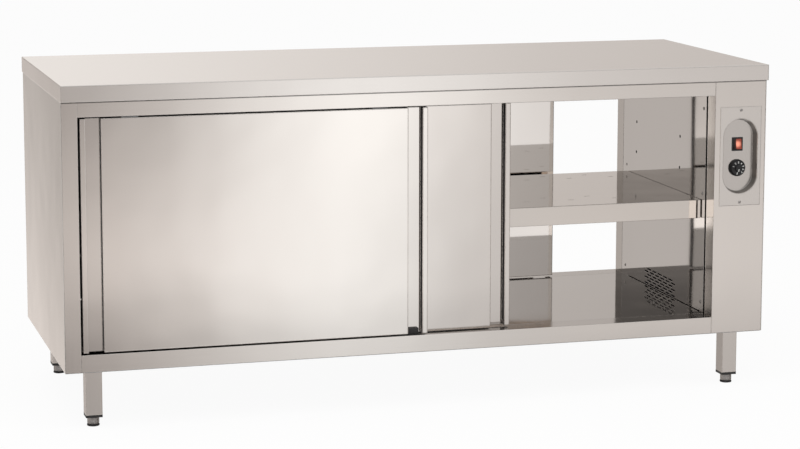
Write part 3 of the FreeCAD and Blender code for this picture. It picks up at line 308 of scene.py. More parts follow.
def stainless(name):
    look = steels[name]
    material = bpy.data.materials.new(name)
    sheet = Sheet(material)

    def grained(scales, detail, rough):
        along, across = scales
        stretch = {"X": (along, across, across), "Z": (across, across, along)}[look["grain"]]
        return sheet.noise(sheet.place(stretch), 1.0, detail, rough) - 0.5

    broad = grained(grainLook["broad"], 3.0, 0.6)
    hair = grained(grainLook["hair"], 2.0, 0.5)
    streak = broad * grainLook["broadShare"] + hair * grainLook["hairShare"]
    cloud = sheet.noise(sheet.place(), grainLook["cloud"], 2.0, 0.5)
    smear = sheet.noise(sheet.place((1.0, 1.0, 0.6)), grainLook["smear"], 4.0, 0.6)
    tone = look["tone"]
    share = streak * look["streak"] * grainLook["contrast"] + (cloud - 0.5) * grainLook["cloudShare"]
    darker, paler = [shade(tone, factor) for factor in grainLook["shades"]]
    colour = sheet.mix((share + 0.5).clamped(), darker, paler)
    x, y, z = sheet.axes()
    facingWay = sheet.add("ShaderNodeNewGeometry", {}, {}, "Normal")
    lean = {}
    for axis in "XYZ":
        lean[axis] = abs(sheet.add("ShaderNodeSeparateXYZ", {}, {"Vector": facingWay}, axis))
    # Painted shade: faces that look up or down, or sideways, take a darker copy of the tone
    for key, axis in (("upper", "Z"), ("side", "X")):
        if key in look:
            colour = sheet.mix(lean[axis].smooth(0.6, 0.95), colour, shade(tone, look[key]))
    # Painted shade inside a recess behind the face plane: darker copies of the tone on its walls and
    # floor
    if "face" in look:
        depth = (look["face"] - abs(y)).smooth(*look["sunk"])
        flat = lean["Y"].smooth(0.4, 0.9)
        recess = sheet.mix(flat, shade(tone, look["wall"]), shade(tone, look["floor"]))
        colour = sheet.mix(depth, colour, recess)
    # Painted shadow: a dark line on the face right below the edge of the piece above
    if "under" in look:
        start = look["under"] - grainLook["lineBelow"]
        line = z.smooth(start, look["under"] - grainLook["lineAbove"])
        colour = sheet.mix(line, colour, shade(tone, grainLook["lineShade"]))
    rough = look["rough"] + streak * look["streak"] + (smear - 0.5) * grainLook["smearShare"]
    metal = 1.0
    if "dull" in look:
        dull = depth * (1 - flat)
        rough = rough + dull * look["dull"]
        metal = 1 - dull
    rough = rough.clamped()
    normal = sheet.bump(cloud, 1.0, look["wave"] * 0.001, look["bend"])
    sheet.surface({"Base Color": colour, "Metallic": metal, "Roughness": rough, "Normal": normal})
    return material


# Zinc coated sheet with its crystal patches
zincLook = {
    "patches": 90.0,
    "dark": (0.42, 0.43, 0.44, 1),
    "light": (0.60, 0.61, 0.62, 1),
    "rough": 0.34,
    "roughPatch": 0.14,
    "dull": 25.0,
    "roughDull": 0.1,
}


def galvanised():
    material = bpy.data.materials.new("zincSpangle")
    sheet = Sheet(material)
    sockets = {"Vector": sheet.place(), "Scale": zincLook["patches"]}
    cells = sheet.add("ShaderNodeTexVoronoi", {}, sockets, "Color")
    patch = sheet.add("ShaderNodeSeparateColor", {}, {"Color": cells}, 0)
    colour = sheet.mix(patch, zincLook["dark"], zincLook["light"])
    dull = sheet.noise(sheet.place(), zincLook["dull"], 3.0)
    rough = zincLook["rough"] + patch * zincLook["roughPatch"] + dull * zincLook["roughDull"]
    sheet.surface({"Base Color": colour, "Metallic": 1.0, "Roughness": rough})
    return material


# Turned, cast or drawn metal of the small parts
metals = {
    "footMetal": {"tone": (0.42, 0.40, 0.385), "rough": 0.34, "speck": 260.0, "depth": 0.25},
    # studMetal is painted dark: a painted reflection of dark surroundings on the chromed studs
    "studMetal": {"tone": (0.26, 0.25, 0.24), "rough": 0.12, "speck": 400.0, "depth": 0.1},
    "screwMetal": {"tone": (0.72, 0.69, 0.66), "rough": 0.18, "speck": 500.0, "depth": 0.1},
    "bladeAluminium": {"tone": (0.70, 0.71, 0.72), "rough": 0.38, "speck": 300.0, "depth": 0.2},
    "heaterSheath": {"tone": (0.20, 0.17, 0.15), "rough": 0.42, "speck": 180.0, "depth": 0.3},
}
metalWear = {"scale": 40.0, "shades": (0.88, 1.1), "roughSpeck": 0.16, "roughWorn": 0.1}


def smallMetal(name):
    look = metals[name]
    material = bpy.data.materials.new(name)
    sheet = Sheet(material)
    speck = sheet.noise(sheet.place(), look["speck"], 3.0, 0.6)
    worn = sheet.noise(sheet.place(), metalWear["scale"], 2.0)
    darker, paler = [shade(look["tone"], factor) for factor in metalWear["shades"]]
    colour = sheet.mix(worn, darker, paler)
    uneven = (speck - 0.5) * metalWear["roughSpeck"] + (worn - 0.5) * metalWear["roughWorn"]
    rough = (look["rough"] + uneven).clamped()
    normal = sheet.bump(speck, look["depth"], 0.0002)
    sheet.surface({"Base Color": colour, "Metallic": 1.0, "Roughness": rough, "Normal": normal})
    return material


# Moulded plastics
plastics = {
    "knobPlastic": {"tone": (0.012, 0.012, 0.013), "rough": 0.32, "pit": 0.18},
    "switchPlastic": {"tone": (0.010, 0.010, 0.011), "rough": 0.26, "pit": 0.1},
    "plugPlastic": {"tone": (0.022, 0.021, 0.021), "rough": 0.5, "pit": 0.35},
    "rollerNylon": {"tone": (0.72, 0.70, 0.64), "rough": 0.42, "pit": 0.15},
    "glandNylon": {"tone": (0.035, 0.036, 0.038), "rough": 0.44, "pit": 0.3},
    "thermostatPlastic": {"tone": (0.50, 0.44, 0.34), "rough": 0.5, "pit": 0.2},
    "markPaint": {"tone": (0.80, 0.80, 0.78), "rough": 0.45, "pit": 0.05},
    "insulationFoil": {"tone": (0.52, 0.53, 0.54), "rough": 0.5, "pit": 1.0},
}
plasticWear = {
    "pits": 1400.0,
    "scale": 60.0,
    "shades": (0.8, 1.25),
    "roughWorn": 0.14,
    "roughPit": 0.08,
}


def moulded(name):
    look = plastics[name]
    material = bpy.data.materials.new(name)
    sheet = Sheet(material)
    pit = sheet.noise(sheet.place(), plasticWear["pits"], 2.0, 0.6)
    worn = sheet.noise(sheet.place(), plasticWear["scale"], 3.0, 0.6)
    darker, paler = [shade(look["tone"], factor) for factor in plasticWear["shades"]]
    colour = sheet.mix(worn, darker, paler)
    uneven = (worn - 0.5) * plasticWear["roughWorn"] + (pit - 0.5) * plasticWear["roughPit"]
    rough = (look["rough"] + uneven).clamped()
    normal = sheet.bump(pit, look["pit"], 0.0001)
    sheet.surface({"Base Color": colour, "Roughness": rough, "Normal": normal})
    return material


# The rocker's red lens, lit from inside by a small lamp behind its right half
rockerLook = {
    "lens": (0.30, 0.05, 0.03, 1.0),
    # a darker copy of the lens colour, painted shade on the half away from the lamp
    "dark": (0.03, 0.012, 0.010, 1.0),
    "glow": (1.0, 0.40, 0.27, 1.0),
    "power": 0.9,
    "litFrom": (-0.48, -0.30),
    "spotAcross": -0.1,
    "spotWidth": 0.8,
    "spotHeight": 1.5,
    "rim": 0.04,
    "ribs": 3200.0,
    "rough": 0.22,
    "roughRib": 0.06,
}


def litLens():
    low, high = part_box("rocker")
    middle = (low + high) / 2
    half = (high - low) / 2
    material = bpy.data.materials.new("rockerLens")
    sheet = Sheet(material)
    x, y, z = sheet.axes()
    across = (x - middle.x) / half.x
    up = (z - middle.z) / half.z
    side = across.smooth(*rockerLook["litFrom"])
    off = across - rockerLook["spotAcross"]
    spot = 1 - ((off ** 2) * rockerLook["spotWidth"] + (up ** 2) * rockerLook["spotHeight"]).clamped()
    ribs = sheet.ripple(z, rockerLook["ribs"])
    light = side * (spot ** 1.5 + rockerLook["rim"])
    # The lens colour is painted darker over the left half: painted shade away from the lamp
    lens = sheet.mix(side, rockerLook["dark"], rockerLook["lens"])
    glow = sheet.mix(light, grey(0.0), rockerLook["glow"])
    sheet.surface({
        "Base Color": lens,
        "Roughness": rockerLook["rough"] + ribs * rockerLook["roughRib"],
        "Normal": sheet.bump(ribs, 0.2, 0.0002),
        "Emission Color": glow,
        "Emission Strength": rockerLook["power"],
    })
    return material


# Laminated motor stack below its taped coil
motorLook = {
    "coilHeight": 0.021,
    "leaves": 9000.0,
    "turns": 7000.0,
    "rough": 0.42,
    "roughLeaf": 0.1,
    "iron": ((0.10, 0.11, 0.13, 1), (0.22, 0.23, 0.25, 1)),
    "tape": ((0.42, 0.20, 0.06, 1), (0.62, 0.34, 0.10, 1)),
}


def motorIron():
    material = bpy.data.materials.new("motorStack")
    sheet = Sheet(material)
    x, y, z = sheet.axes()
    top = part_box("fan_motor")[1].z
    coil = (z - (top - motorLook["coilHeight"])).smooth(0.0, 0.0004)
    leaves = sheet.ripple(y, motorLook["leaves"])
    turns = sheet.ripple(x, motorLook["turns"])
    iron = sheet.mix(leaves, *motorLook["iron"])
    tape = sheet.mix(turns, *motorLook["tape"])
    sheet.surface({
        "Base Color": sheet.mix(coil, iron, tape),
        "Metallic": 1 - coil,
        "Roughness": motorLook["rough"] + leaves * motorLook["roughLeaf"],
        "Normal": sheet.bump(leaves * (1 - coil) + turns * coil, 0.4, 0.0003),
    })
    return material


finish = {}
for steelName in steels:
    finish[steelName] = stainless(steelName)
for metalName in metals:
    finish[metalName] = smallMetal(metalName)
for plasticName in plastics:
    finish[plasticName] = moulded(plasticName)
finish["zincSpangle"] = galvanised()
finish["rockerLens"] = litLens()
finish["motorStack"] = motorIron()
print("finishes made:", len(finish))


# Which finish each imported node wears
wears = {
    "worktop": "worktopBrushed",
    "worktop_stiffeners": "zincSpangle",
    "left_side_panel": "sideBrushed",
    "right_side_panel": "sideBrushed",
    "front_left_stile": "columnBrushed",
    "rear_left_stile": "columnBrushed",
    "rear_column": "rearColumnBrushed",
    "control_column": "columnBrushed",
    "front_top_rail": "railBrushed",
    "front_bottom_rail": "railBrushed",
    "rear_top_rail": "railBrushed",
    "rear_bottom_rail": "railBrushed",
    "underside_panel": "zincSpangle",
    "interior_floor": "liningRolled",
    "ceiling_panel": "liningRolled",
    "left_inner_wall": "wallRolled",
    "right_inner_wall": "wallRolled",
    "insulation": "insulationFoil",
    "front_upper_track": "zincSpangle",
    "rear_upper_track": "zincSpangle",
    "door_guides": "plugPlastic",
    "shelf": "shelfBrushed",
    "shelf_studs": "studMetal",
    "legs": "legBrushed",
    "leg_plugs": "plugPlastic",
    "control_fascia": "fasciaSatin",
    "panel_screws": "screwMetal",
    "switch_housing": "switchPlastic",
    "rocker": "rockerLens",
    "thermostat": "thermostatPlastic",
    "knob": "knobPlastic",
    "fan_housing": "zincSpangle",
    "heating_element": "heaterSheath",
    "fan_impeller": "bladeAluminium",
    "fan_motor": "motorStack",
    "cable_gland": "glandNylon",
}
for door in ("front_left_door", "front_right_door", "rear_left_door", "rear_right_door"):
    # doors on the inner track wear the darker copy, painted shade
    wears[door + "_shell"] = "outerDoor" if door.endswith("left_door") else "innerDoor"
    wears[door + "_liner"] = "doorBack"
    wears[door + "_hangers"] = "zincSpangle"
    wears[door + "_left_roller"] = "rollerNylon"
    wears[door + "_right_roller"] = "rollerNylon"
for corner in ("front_left", "front_right", "rear_left", "rear_right"):
    wears["foot_" + corner] = "footMetal"


# Softened edges: width in metres of the break on each kind of moulded piece
softness = {
    0.0003: ["switch_housing", "leg_plugs", "door_guides", "cable_gland"],
    0.0005: ["rocker", "shelf_studs", "fan_motor", "thermostat"],
}
weldWithin = 0.00002
sharpFrom = 50


def soften(piece, width):
    weld = piece.modifiers.new("joinCorners", "WELD")
    weld.merge_threshold = weldWithin
    bevel = piece.modifiers.new("softEdge", "BEVEL")
    bevel.width = width
    bevel.segments = 2
    bevel.limit_method = "ANGLE"
    bevel.angle_limit = math.radians(sharpFrom)
    bevel.use_clamp_overlap = True
    bevel.harden_normals = True
    return piece


def dress():
    for nodeName, piece in nodes.items():
        piece.data.materials.clear()
        piece.data.materials.append(finish[wears[nodeName]])
    for width, names in softness.items():
        for nodeName in names:
            soften(nodes[nodeName], width)
    print("nodes dressed:", len(nodes))


dress()


# Mesh helpers for the small parts

def newPiece(name, mesh, finishName, body):
    data = bpy.data.meshes.new(name)
    mesh.normal_update()
    mesh.to_mesh(data)
    mesh.free()
    data.materials.append(finish[finishName])
    piece = bpy.data.objects.new(name, data)
    bpy.context.scene.collection.objects.link(piece)
    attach(piece, body)
    return piece


# Rings of one closed outline after another; each ring is (radius, height), with an optional wave
def lathe(mesh, rings, sides, turn, wave=None):
    loops = []
    for radius, height in rings:
        loop = []
        for step in range(sides):
            angle = 2 * math.pi * step / sides
            reach = radius * (wave(angle, radius, height) if wave else 1.0)
            spot = Vector((reach * math.cos(angle), reach * math.sin(angle), height))
            loop.append(mesh.verts.new(turn @ spot))
        loops.append(loop)
    for lower, upper in zip(loops, loops[1:]):
        for step in range(sides):
            after = (step + 1) % sides
            face = mesh.faces.new((lower[step], lower[after], upper[after], upper[step]))
            face.smooth = True
    mesh.faces.new(list(reversed(loops[0])))
    mesh.faces.new(loops[-1])


# Points of each separate part of a node's mesh
def looseParts(piece):
    mesh = bmesh.new()
    mesh.from_mesh(piece.data)
    bmesh.ops.remove_doubles(mesh, verts=mesh.verts, dist=weldWithin)
    seen = set()
    parts = []
    for first in mesh.verts:
        if first in seen:
            continue
        seen.add(first)
        reached = [first]
        part = []
        while reached:
            vert = reached.pop()
            part.append(vert.co.copy())
            for edge in vert.link_edges:
                other = edge.other_vert(vert)
                if other not in seen:
                    seen.add(other)
                    reached.append(other)
        parts.append(part)
    mesh.free()
    return parts


def facing(direction, spot):
    tilt = Vector((0, 0, 1)).rotation_difference(Vector(direction))
    return Matrix.Translation(spot) @ tilt.to_matrix().to_4x4()


# Knob: a fluted skirt sloping up to a dial face with plain numbers, and a grip with a pointer
knobLook = {
    "flutes": 36,
    "fluteDepth": 0.03,
    "rim": 0.0036,
    "dial": 0.0086,
    "dialRadius": 0.0178,
    "grip": 0.0094,
    "height": 0.015,
    "spindle": 0.003,
    "sides": 216,
    "spindleSides": 48,
    "numbers": "1234567",
    "clock": [9.6, 10.9, 12.05, 1.2, 2.4, 3.5, 4.6],
    "numberRadius": 0.0141,
    "numberSize": 0.0068,
    "pointer": -102,
}


def makeKnob():
    low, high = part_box("knob")
    radius = (high.x - low.x) / 2
    centreX = (low.x + high.x) / 2
    centreZ = (low.z + high.z) / 2
    height = knobLook["height"]
    back = low.y + height
    turn = facing((0, -1, 0), Vector((centreX, back, centreZ)))
    rim = knobLook["rim"]
    dial = knobLook["dial"]
    dialRadius = knobLook["dialRadius"]
    grip = knobLook["grip"]

    def flute(angle, ring, level):
        if ring < dialRadius + 0.0006 or level < 0.001:
            return 1.0
        return 1 - knobLook["fluteDepth"] * (0.5 + 0.5 * math.cos(angle * knobLook["flutes"]))

    mesh = bmesh.new()
    rings = [
        (radius * 0.9, 0.0),
        (radius - 0.0004, 0.0004),
        (radius, 0.0012),
        (radius, rim),
        (radius - 0.0008, rim + 0.0008),
        (dialRadius + 0.0008, dial - 0.0007),
        (dialRadius, dial - 0.0001),
        (dialRadius - 0.0006, dial),
        (grip + 0.0008, dial),
        (grip + 0.0001, dial + 0.0006),
        (grip - 0.0003, height - 0.001),
        (grip - 0.001, height - 0.0002),
        (grip - 0.0018, height),
        (grip * 0.4, height - 0.0003),
    ]
    lathe(mesh, rings, knobLook["sides"], turn, flute)
    knob = newPiece("knobBody", mesh, "knobPlastic", "knob")
    spindle = bmesh.new()
    spindleTurn = facing((0, 1, 0), Vector((centreX, back, centreZ)))
    length = high.y - back
    thick = knobLook["spindle"]
    rings = [(thick, 0.0), (thick, length - 0.0006), (thick * 0.8, length)]
    lathe(spindle, rings, knobLook["spindleSides"], spindleTurn)
    newPiece("knobSpindle", spindle, "studMetal", "knob")

    # White pointer line on the grip and on the dial face, towards half past six
    marks = bmesh.new()
    toBack = Matrix.Translation((centreX, back, centreZ)) @ Matrix.Rotation(math.radians(90), 4, "X")
    lineTurn = toBack @ Matrix.Rotation(math.radians(knobLook["pointer"]), 4, "Z")
    onGrip = (0.002, grip - 0.0012, 0.0008, height)
    onDial = (grip + 0.0012, dialRadius - 0.001, 0.0009, dial)
    for start, end, half, level in (onGrip, onDial):
        flat = [(start, -half), (end, -half), (end, half), (start, half)]
        lower = [marks.verts.new(lineTurn @ Vector((x, y, level - 0.0006))) for x, y in flat]
        upper = [marks.verts.new(lineTurn @ Vector((x, y, level + 0.0001))) for x, y in flat]
        marks.faces.new(upper)
        marks.faces.new(list(reversed(lower)))
        for step in range(4):
            after = (step + 1) % 4
            marks.faces.new((lower[step], lower[after], upper[after], upper[step]))
    newPiece("knobPointer", marks, "markPaint", "knob")

    # Plain numbers round the dial face, set as text
    for number, hour in zip(knobLook["numbers"], knobLook["clock"]):
        angle = math.radians(90 - hour * 30)
        curve = bpy.data.curves.new("knobNumber" + number, "FONT")
        curve.body = number
        curve.size = knobLook["numberSize"]
        curve.align_x = "CENTER"
        curve.align_y = "CENTER"
        curve.offset = 0.00012
        curve.extrude = 0.0001
        curve.materials.append(finish["markPaint"])
        figure = bpy.data.objects.new("knobNumber" + number, curve)
        bpy.context.scene.collection.objects.link(figure)
        reach = knobLook["numberRadius"]
        across = reach * math.cos(angle)
        up = reach * math.sin(angle)
        spot = Vector((centreX + across, back - dial, centreZ + up))
        upright = Matrix.Rotation(math.radians(90), 4, "X")
        spin = Matrix.Rotation(angle - math.radians(90), 4, "Z")
        figure.matrix_world = Matrix.Translation(spot) @ upright @ spin
        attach(figure, "knob")
    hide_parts("knob")


# Levelling foot: a ribbed barrel with a turned-in neck, on a rubber pad
footLook = {
    "ribs": 20,
    "ribDepth": 0.05,
    "barrel": 0.0145,
    "barrelTop": 0.023,
    "stem": 0.005,
    "pad": 0.0152,
    "padHeight": 0.005,
    "sides": 120,
    "padSides": 96,
}


def makeFoot(corner):
    nodeName = "foot_" + corner
    low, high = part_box(nodeName)
    centre = (low + high) / 2
    turn = Matrix.Translation((centre.x, centre.y, low.z))
    barrel = footLook["barrel"]
    pad = footLook["pad"]
    padTop = footLook["padHeight"]
    top = footLook["barrelTop"]
    stem = footLook["stem"]
    reach = high.z - low.z

    def rib(angle, ring, level):
        if padTop + 0.001 < level < top - 0.0015 and ring > barrel - 0.0015:
            return 1 - footLook["ribDepth"] * max(0.0, math.cos(angle * footLook["ribs"])) ** 2
        return 1.0

    rings = [
        (barrel - 0.0012, padTop - 0.0004),
        (barrel - 0.0012, padTop + 0.001),
        (barrel, padTop + 0.0022),
        (barrel, top - 0.0025),
        (barrel - 0.0006, top - 0.0005),
        (barrel - 0.0019, top),
        (stem + 0.0002, top),
        (stem, top + 0.0005),
        (stem, reach - 0.001),
        (stem - 0.0008, reach),
    ]
    mesh = bmesh.new()
    lathe(mesh, rings, footLook["sides"], turn, rib)
    foot = newPiece(nodeName + "_turned", mesh, "footMetal", nodeName)
    mesh = bmesh.new()
    rings = [
        (pad - 0.002, 0.0),
        (pad - 0.0006, 0.0004),
        (pad, 0.0014),
        (pad, padTop - 0.0012),
        (pad - 0.001, padTop),
    ]
    lathe(mesh, rings, footLook["padSides"], turn)
    newPiece(nodeName + "_pad", mesh, "plugPlastic", nodeName)
    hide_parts(nodeName)


# Pan-head screws with a cross recess painted on as dark strips, in place of the plain ones
screwLook = {
    "radius": 0.004,
    "height": 0.0016,
    "shank": 0.002,
    "length": 0.008,
    "slot": 0.0011,
    "reach": 0.0023,
    "turned": 20.0,
    "sides": 40,
}


def makeScrews():
    mesh = bmesh.new()
    heads = []
    radius = screwLook["radius"]
    top = screwLook["height"]
    shank = screwLook["shank"]
    for points in looseParts(nodes["panel_screws"]):
        low = Vector([min(point[axis] for point in points) for axis in range(3)])
        high = Vector([max(point[axis] for point in points) for axis in range(3)])
        centre = (low + high) / 2
        size = high - low
        if size.y > size.x:
            heads.append((Vector((centre.x, low.y + top, centre.z)), (0, -1, 0)))
        elif centre.x < 0:
            heads.append((Vector((high.x - top, centre.y, centre.z)), (1, 0, 0)))
        else:
            heads.append((Vector((low.x + top, centre.y, centre.z)), (-1, 0, 0)))
    rings = [
        (shank, -screwLook["length"]),
        (shank, 0.0),
        (radius - 0.0001, 0.0),
        (radius, 0.0004),
        (radius * 0.93, top * 0.62),
        (radius * 0.75, top * 0.88),
        (radius * 0.5, top * 0.98),
        (radius * 0.3, top),
    ]
    half = screwLook["slot"] / 2
    reach = screwLook["reach"]
    flat = [(-reach, -half), (reach, -half), (reach, half), (-reach, half)]
    for spot, direction in heads:
        turn = facing(direction, spot)
        lathe(mesh, rings, screwLook["sides"], turn)
        # The cross: two flat dark strips laid on the crown, painted shade for the recess
        for quarter in (0.0, 90.0):
            angle = math.radians(quarter + screwLook["turned"])
            grooveTurn = turn @ Matrix.Rotation(angle, 4, "Z")
            corners = [grooveTurn @ Vector((x, y, top + 0.00002)) for x, y in flat]
            face = mesh.faces.new([mesh.verts.new(corner) for corner in corners])
            face.material_index = 1
    screws = newPiece("screwHeads", mesh, "screwMetal", "cabinet")
    # the dark plastic finish colours the painted cross
    screws.data.materials.append(finish["plugPlastic"])
    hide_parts("panel_screws")
    print("screws made:", len(heads))


makeKnob()
for corner in ("front_left", "front_right", "rear_left", "rear_right"):
    makeFoot(corner)
makeScrews()
print("small parts made")


# Stage: a wide pale floor, near white to the camera with the soft shadow kept
floorLook = {"size": 30.0, "paint": (0.86, 0.85, 0.84, 1.0), "lift": 0.94}


def makeFloor():
    mesh = bmesh.new()
    half = floorLook["size"] / 2
    ways = ((-1, -1), (1, -1), (1, 1), (-1, 1))
    mesh.faces.new([mesh.verts.new((x * half, y * half, 0.0)) for x, y in ways])
    data = bpy.data.meshes.new("floor")
    mesh.to_mesh(data)
    mesh.free()
    material = bpy.data.materials.new("studioFloor")
    sheet = Sheet(material)
    cloud = sheet.noise(sheet.place(), 0.6, 2.0)
    tone = sheet.mix(cloud, shade(floorLook["paint"], 0.98), shade(floorLook["paint"], 1.02))
    paint = sheet.add("ShaderNodeBsdfDiffuse", {}, {"Color": tone})
    white = sheet.add("ShaderNodeEmission", {}, {"Color": grey(1.0), "Strength": 1.0})
    camera = sheet.add("ShaderNodeLightPath", {}, {}, "Is Camera Ray")
    surface = sheet.add("ShaderNodeMixShader", {}, {0: camera * floorLook["lift"], 1: paint, 2: white})
    sheet.add("ShaderNodeOutputMaterial", {}, {"Surface": surface})
    data.materials.append(material)
    floor = bpy.data.objects.new("floor", data)
    floor.visible_glossy = False
    bpy.context.scene.collection.objects.link(floor)


# World: white to the camera. The steel sees a studio round it: bright to the right of the
# standpoint, dark just left of it and far to the right, and behind the cabinet paler towards
# the middle. Each stop is (sideways over forwards, brightness) of a direction, and each pair
# after them is where a change starts and ends, as a slope down from the horizon unless named
worldLook = {
    "ambient": 0.62,
    "front": [
        (-30.0, 0.60),
        (-4.0, 0.50),
        (-2.2, 0.38),
        (-0.80, 0.38),
        (-0.60, 0.55),
        (-0.44, 0.75),
        (-0.352, 0.70),
        (-0.342, 0.012),
        (-0.17, 0.012),
        (-0.12, 0.42),
        (0.02, 0.44),
        (0.09, 0.28),
        (0.145, 0.34),
        (0.160, 0.43),
        (0.195, 0.61),
        (0.213, 0.80),
        (0.230, 0.97),
        (0.248, 1.09),
        (0.265, 1.20),
        (0.284, 1.16),
        (0.301, 1.08),
        (0.319, 0.93),
        (0.337, 0.76),
        (0.372, 0.65),
        (0.443, 0.62),
        (0.62, 0.54),
        (1.6, 0.48),
        (2.1, 0.06),
        (8.0, 0.06),
        (16.0, 0.55),
        (30.0, 0.60),
    ],
    "rear": [
        (-30.0, 0.60),
        (-0.60, 0.62),
        (-0.40, 0.62),
        (-0.20, 0.365),
        (-0.12, 0.365),
        (-0.05, 0.70),
        (0.0, 0.80),
        (0.14, 0.84),
        (0.22, 0.755),
        (0.29, 0.68),
        (0.355, 0.60),
        (0.42, 0.565),
        (0.60, 0.53),
        (30.0, 0.55),
    ],
    "frontRise": [
        (0.10, 0.90),
        (0.145, 0.90),
        (0.165, 0.56),
        (0.20, 0.32),
        (0.23, 0.06),
        (0.265, -0.08),
        (0.31, -0.18),
        (0.324, -0.17),
        (0.345, 0.08),
        (0.37, 0.24),
        (0.60, 0.20),
    ],
    "riseOffset": 0.2,
    "warmth": (0.935, 1.03),
    "rearTint": 1.03,
    "nearer": (0.118, 0.19),
    "fall": (0.19, 0.232),
    "fallBy": 0.29,
    "fallRise": 0.335,
    "upward": (-0.02, 0.06),
    "upwardBy": 0.36,
    "steeper": (0.28, 0.42),
    "steeperBy": 0.6,
    "apart": 0.5,
    "apartUp": (0.02, 0.12),
    "apartDown": (0.28, 0.36),
    "apartLeft": (-0.2, 0.0),
    "leanSlope": 3.5,
    "leanPlace": 0.139,
    "paler": (0.17, 0.25),
    "palerLeft": (0.0, 0.1),
    "palerBy": 1.1,
    "shadedUp": (0.08, 0.24),
    "shadedLeft": (0.2, 0.34),
    "shadedBy": 0.85,
    "sides": (-0.02, 0.02),
    "overhead": 0.75,
    "overheadFrom": (0.35, 0.75),
    "below": 0.05,
    "belowFrom": (1.0, 1.5),
}


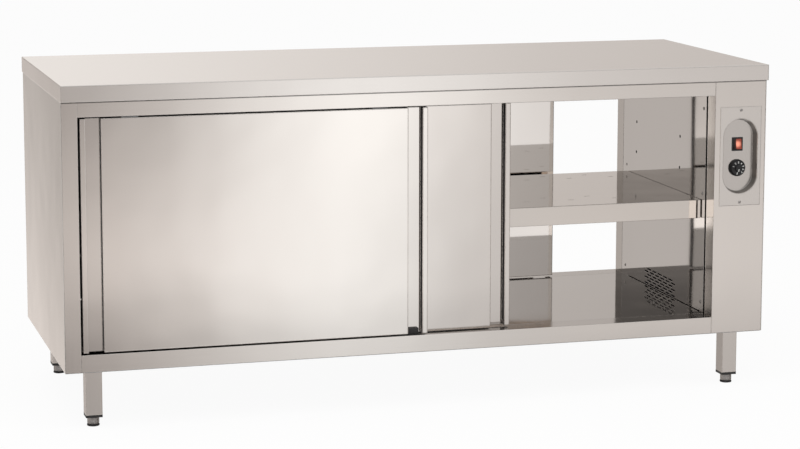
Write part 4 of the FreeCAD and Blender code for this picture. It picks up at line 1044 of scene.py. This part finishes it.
def makeWorld():
    look = worldLook
    world = bpy.data.worlds.new("studio")
    bpy.context.scene.world = world
    sheet = Sheet(world)
    direction = sheet.add("ShaderNodeTexCoord", {}, {}, "Generated")
    x, y, z = [
        sheet.add("ShaderNodeSeparateXYZ", {}, {"Vector": direction}, axis) for axis in "XYZ"
    ]
    angle = sheet.add("ShaderNodeMath", {"operation": "ARCTAN2"}, {0: x, 1: abs(y)})
    bearing = angle / math.pi + 0.5
    slope = (0 - z) / (1.0001 - z * z) ** 0.5

    def ramp(stops):
        placed = [(math.atan(place) / math.pi + 0.5, colour) for place, colour in stops]
        return sheet.add("ShaderNodeValToRGB", {"stops": placed}, {"Fac": bearing})

    def sweep(stops, tint=1.0):
        red, blue = look["warmth"]
        coloured = []
        for place, level in stops:
            colour = (level ** red * tint, level, level ** blue * (2 - tint), 1.0)
            coloured.append((place, colour))
        return ramp(coloured)

    def blended(kind, share, first, second):
        settings = {"data_type": "RGBA", "blend_type": kind}
        return sheet.add("ShaderNodeMix", settings, {0: share, 6: first, 7: second}, 2)

    # In front: the floor rises in brightness a little nearer, and then falls off under the rails.
    # A ramp holds no level under zero, so the rise is lifted in it and lowered after it
    lifted = look["riseOffset"]
    rise = ramp([(place, grey(level + lifted)) for place, level in look["frontRise"]])
    rise = sheet.add("ShaderNodeSeparateColor", {}, {"Color": rise}, 0) - lifted
    nearer = 1 + rise * slope.smooth(*look["nearer"])
    fall = 1 - slope.smooth(*look["fall"]) * (look["fallBy"] + rise * look["fallRise"])
    upward = 1 - (0 - slope).smooth(*look["upward"]) * look["upwardBy"]
    steeper = 1 + slope.smooth(*look["steeper"]) * look["steeperBy"]
    factor = nearer * fall * upward * steeper
    front = blended("MULTIPLY", 1.0, sweep(look["front"]), factor)
    # To the left of the cabinet nothing above, or low on the floor, is darker than a plain wall
    apart = z.smooth(*look["apartUp"]) + slope.smooth(*look["apartDown"])
    apart = apart * (0 - x).smooth(*look["apartLeft"])
    front = blended("LIGHTEN", apart, front, grey(look["apart"]))
    # Behind: paler low down beside the cabinet, and dark above the doors on the left
    leaning = slope + (x / (abs(y) + 0.02) + look["leanPlace"]) * look["leanSlope"]
    beside = leaning.smooth(*look["paler"]) * (0 - x).smooth(*look["palerLeft"])
    paler = 1 + beside * (slope > 0.0) * look["palerBy"]
    above = (0 - slope).smooth(*look["shadedUp"]) * (0 - x).smooth(*look["shadedLeft"])
    shaded = 1 - above * look["shadedBy"]
    rear = blended("MULTIPLY", 1.0, sweep(look["rear"], look["rearTint"]), paler * shaded)
    around = sheet.mix(y.smooth(*look["sides"]), front, rear)
    around = sheet.mix(z.smooth(*look["overheadFrom"]), around, grey(look["overhead"]))
    steelSees = sheet.mix(slope.smooth(*look["belowFrom"]), around, grey(look["below"]))

    def background(colour):
        return sheet.add("ShaderNodeBackground", {}, {"Color": colour, "Strength": 1.0})

    camera = sheet.add("ShaderNodeLightPath", {}, {}, "Is Camera Ray")
    glossy = sheet.add("ShaderNodeLightPath", {}, {}, "Is Glossy Ray")
    soft = background(grey(look["ambient"]))
    steel = background(steelSees)
    white = background(grey(1.0))
    first = sheet.add("ShaderNodeMixShader", {}, {0: glossy, 1: soft, 2: steel})
    last = sheet.add("ShaderNodeMixShader", {}, {0: camera, 1: first, 2: white})
    sheet.add("ShaderNodeOutputWorld", {}, {"Surface": last})


# Soft boxes: place, aim, size in metres and power in watts
lamps = {
    "overheadSoftbox": {
        "at": (-1.0, -1.5, 3.4),
        "aim": (0.0, 0.0, 0.5),
        "size": (3.5, 2.5),
        "power": 60.0,
    },
    "rightSoftbox": {
        "at": (3.4, -2.6, 2.2),
        "aim": (0.4, 0.0, 0.5),
        "size": (1.6, 2.0),
        "power": 26.0,
    },
}


def makeLamps():
    for name, look in lamps.items():
        data = bpy.data.lights.new(name, "AREA")
        data.shape = "RECTANGLE"
        data.size, data.size_y = look["size"]
        data.energy = look["power"]
        lamp = bpy.data.objects.new(name, data)
        lamp.visible_glossy = False
        lamp.location = look["at"]
        way = Vector(look["aim"]) - Vector(look["at"])
        lamp.rotation_euler = way.to_track_quat("-Z", "Y").to_euler()
        bpy.context.scene.collection.objects.link(lamp)


# Camera: the photograph's standpoint and lens
cameraLook = {
    "at": (-1.6973, -5.9805, 1.4831),
    "yaw": -16.08,
    "pitch": -8.082,
    "roll": 0.069,
    "lens": 109.26,
    "shiftX": 0.0,
    "shiftY": -0.0931,
}


def makeCamera():
    data = bpy.data.cameras.new("camera")
    data.sensor_width = 36.0
    data.lens = cameraLook["lens"]
    data.shift_x = cameraLook["shiftX"]
    data.shift_y = cameraLook["shiftY"]
    data.clip_start = 0.05
    camera = bpy.data.objects.new("camera", data)
    yaw = math.radians(cameraLook["yaw"])
    pitch = math.radians(cameraLook["pitch"])
    turn = Matrix.Rotation(yaw, 4, "Z") @ Matrix.Rotation(math.radians(90) + pitch, 4, "X")
    turn = turn @ Matrix.Rotation(math.radians(cameraLook["roll"]), 4, "Z")
    camera.matrix_world = Matrix.Translation(cameraLook["at"]) @ turn
    bpy.context.scene.collection.objects.link(camera)
    bpy.context.scene.camera = camera


makeFloor()
makeWorld()
makeLamps()
makeCamera()
bpy.context.scene.view_settings.view_transform = "Standard"
print("stage, light and camera set")
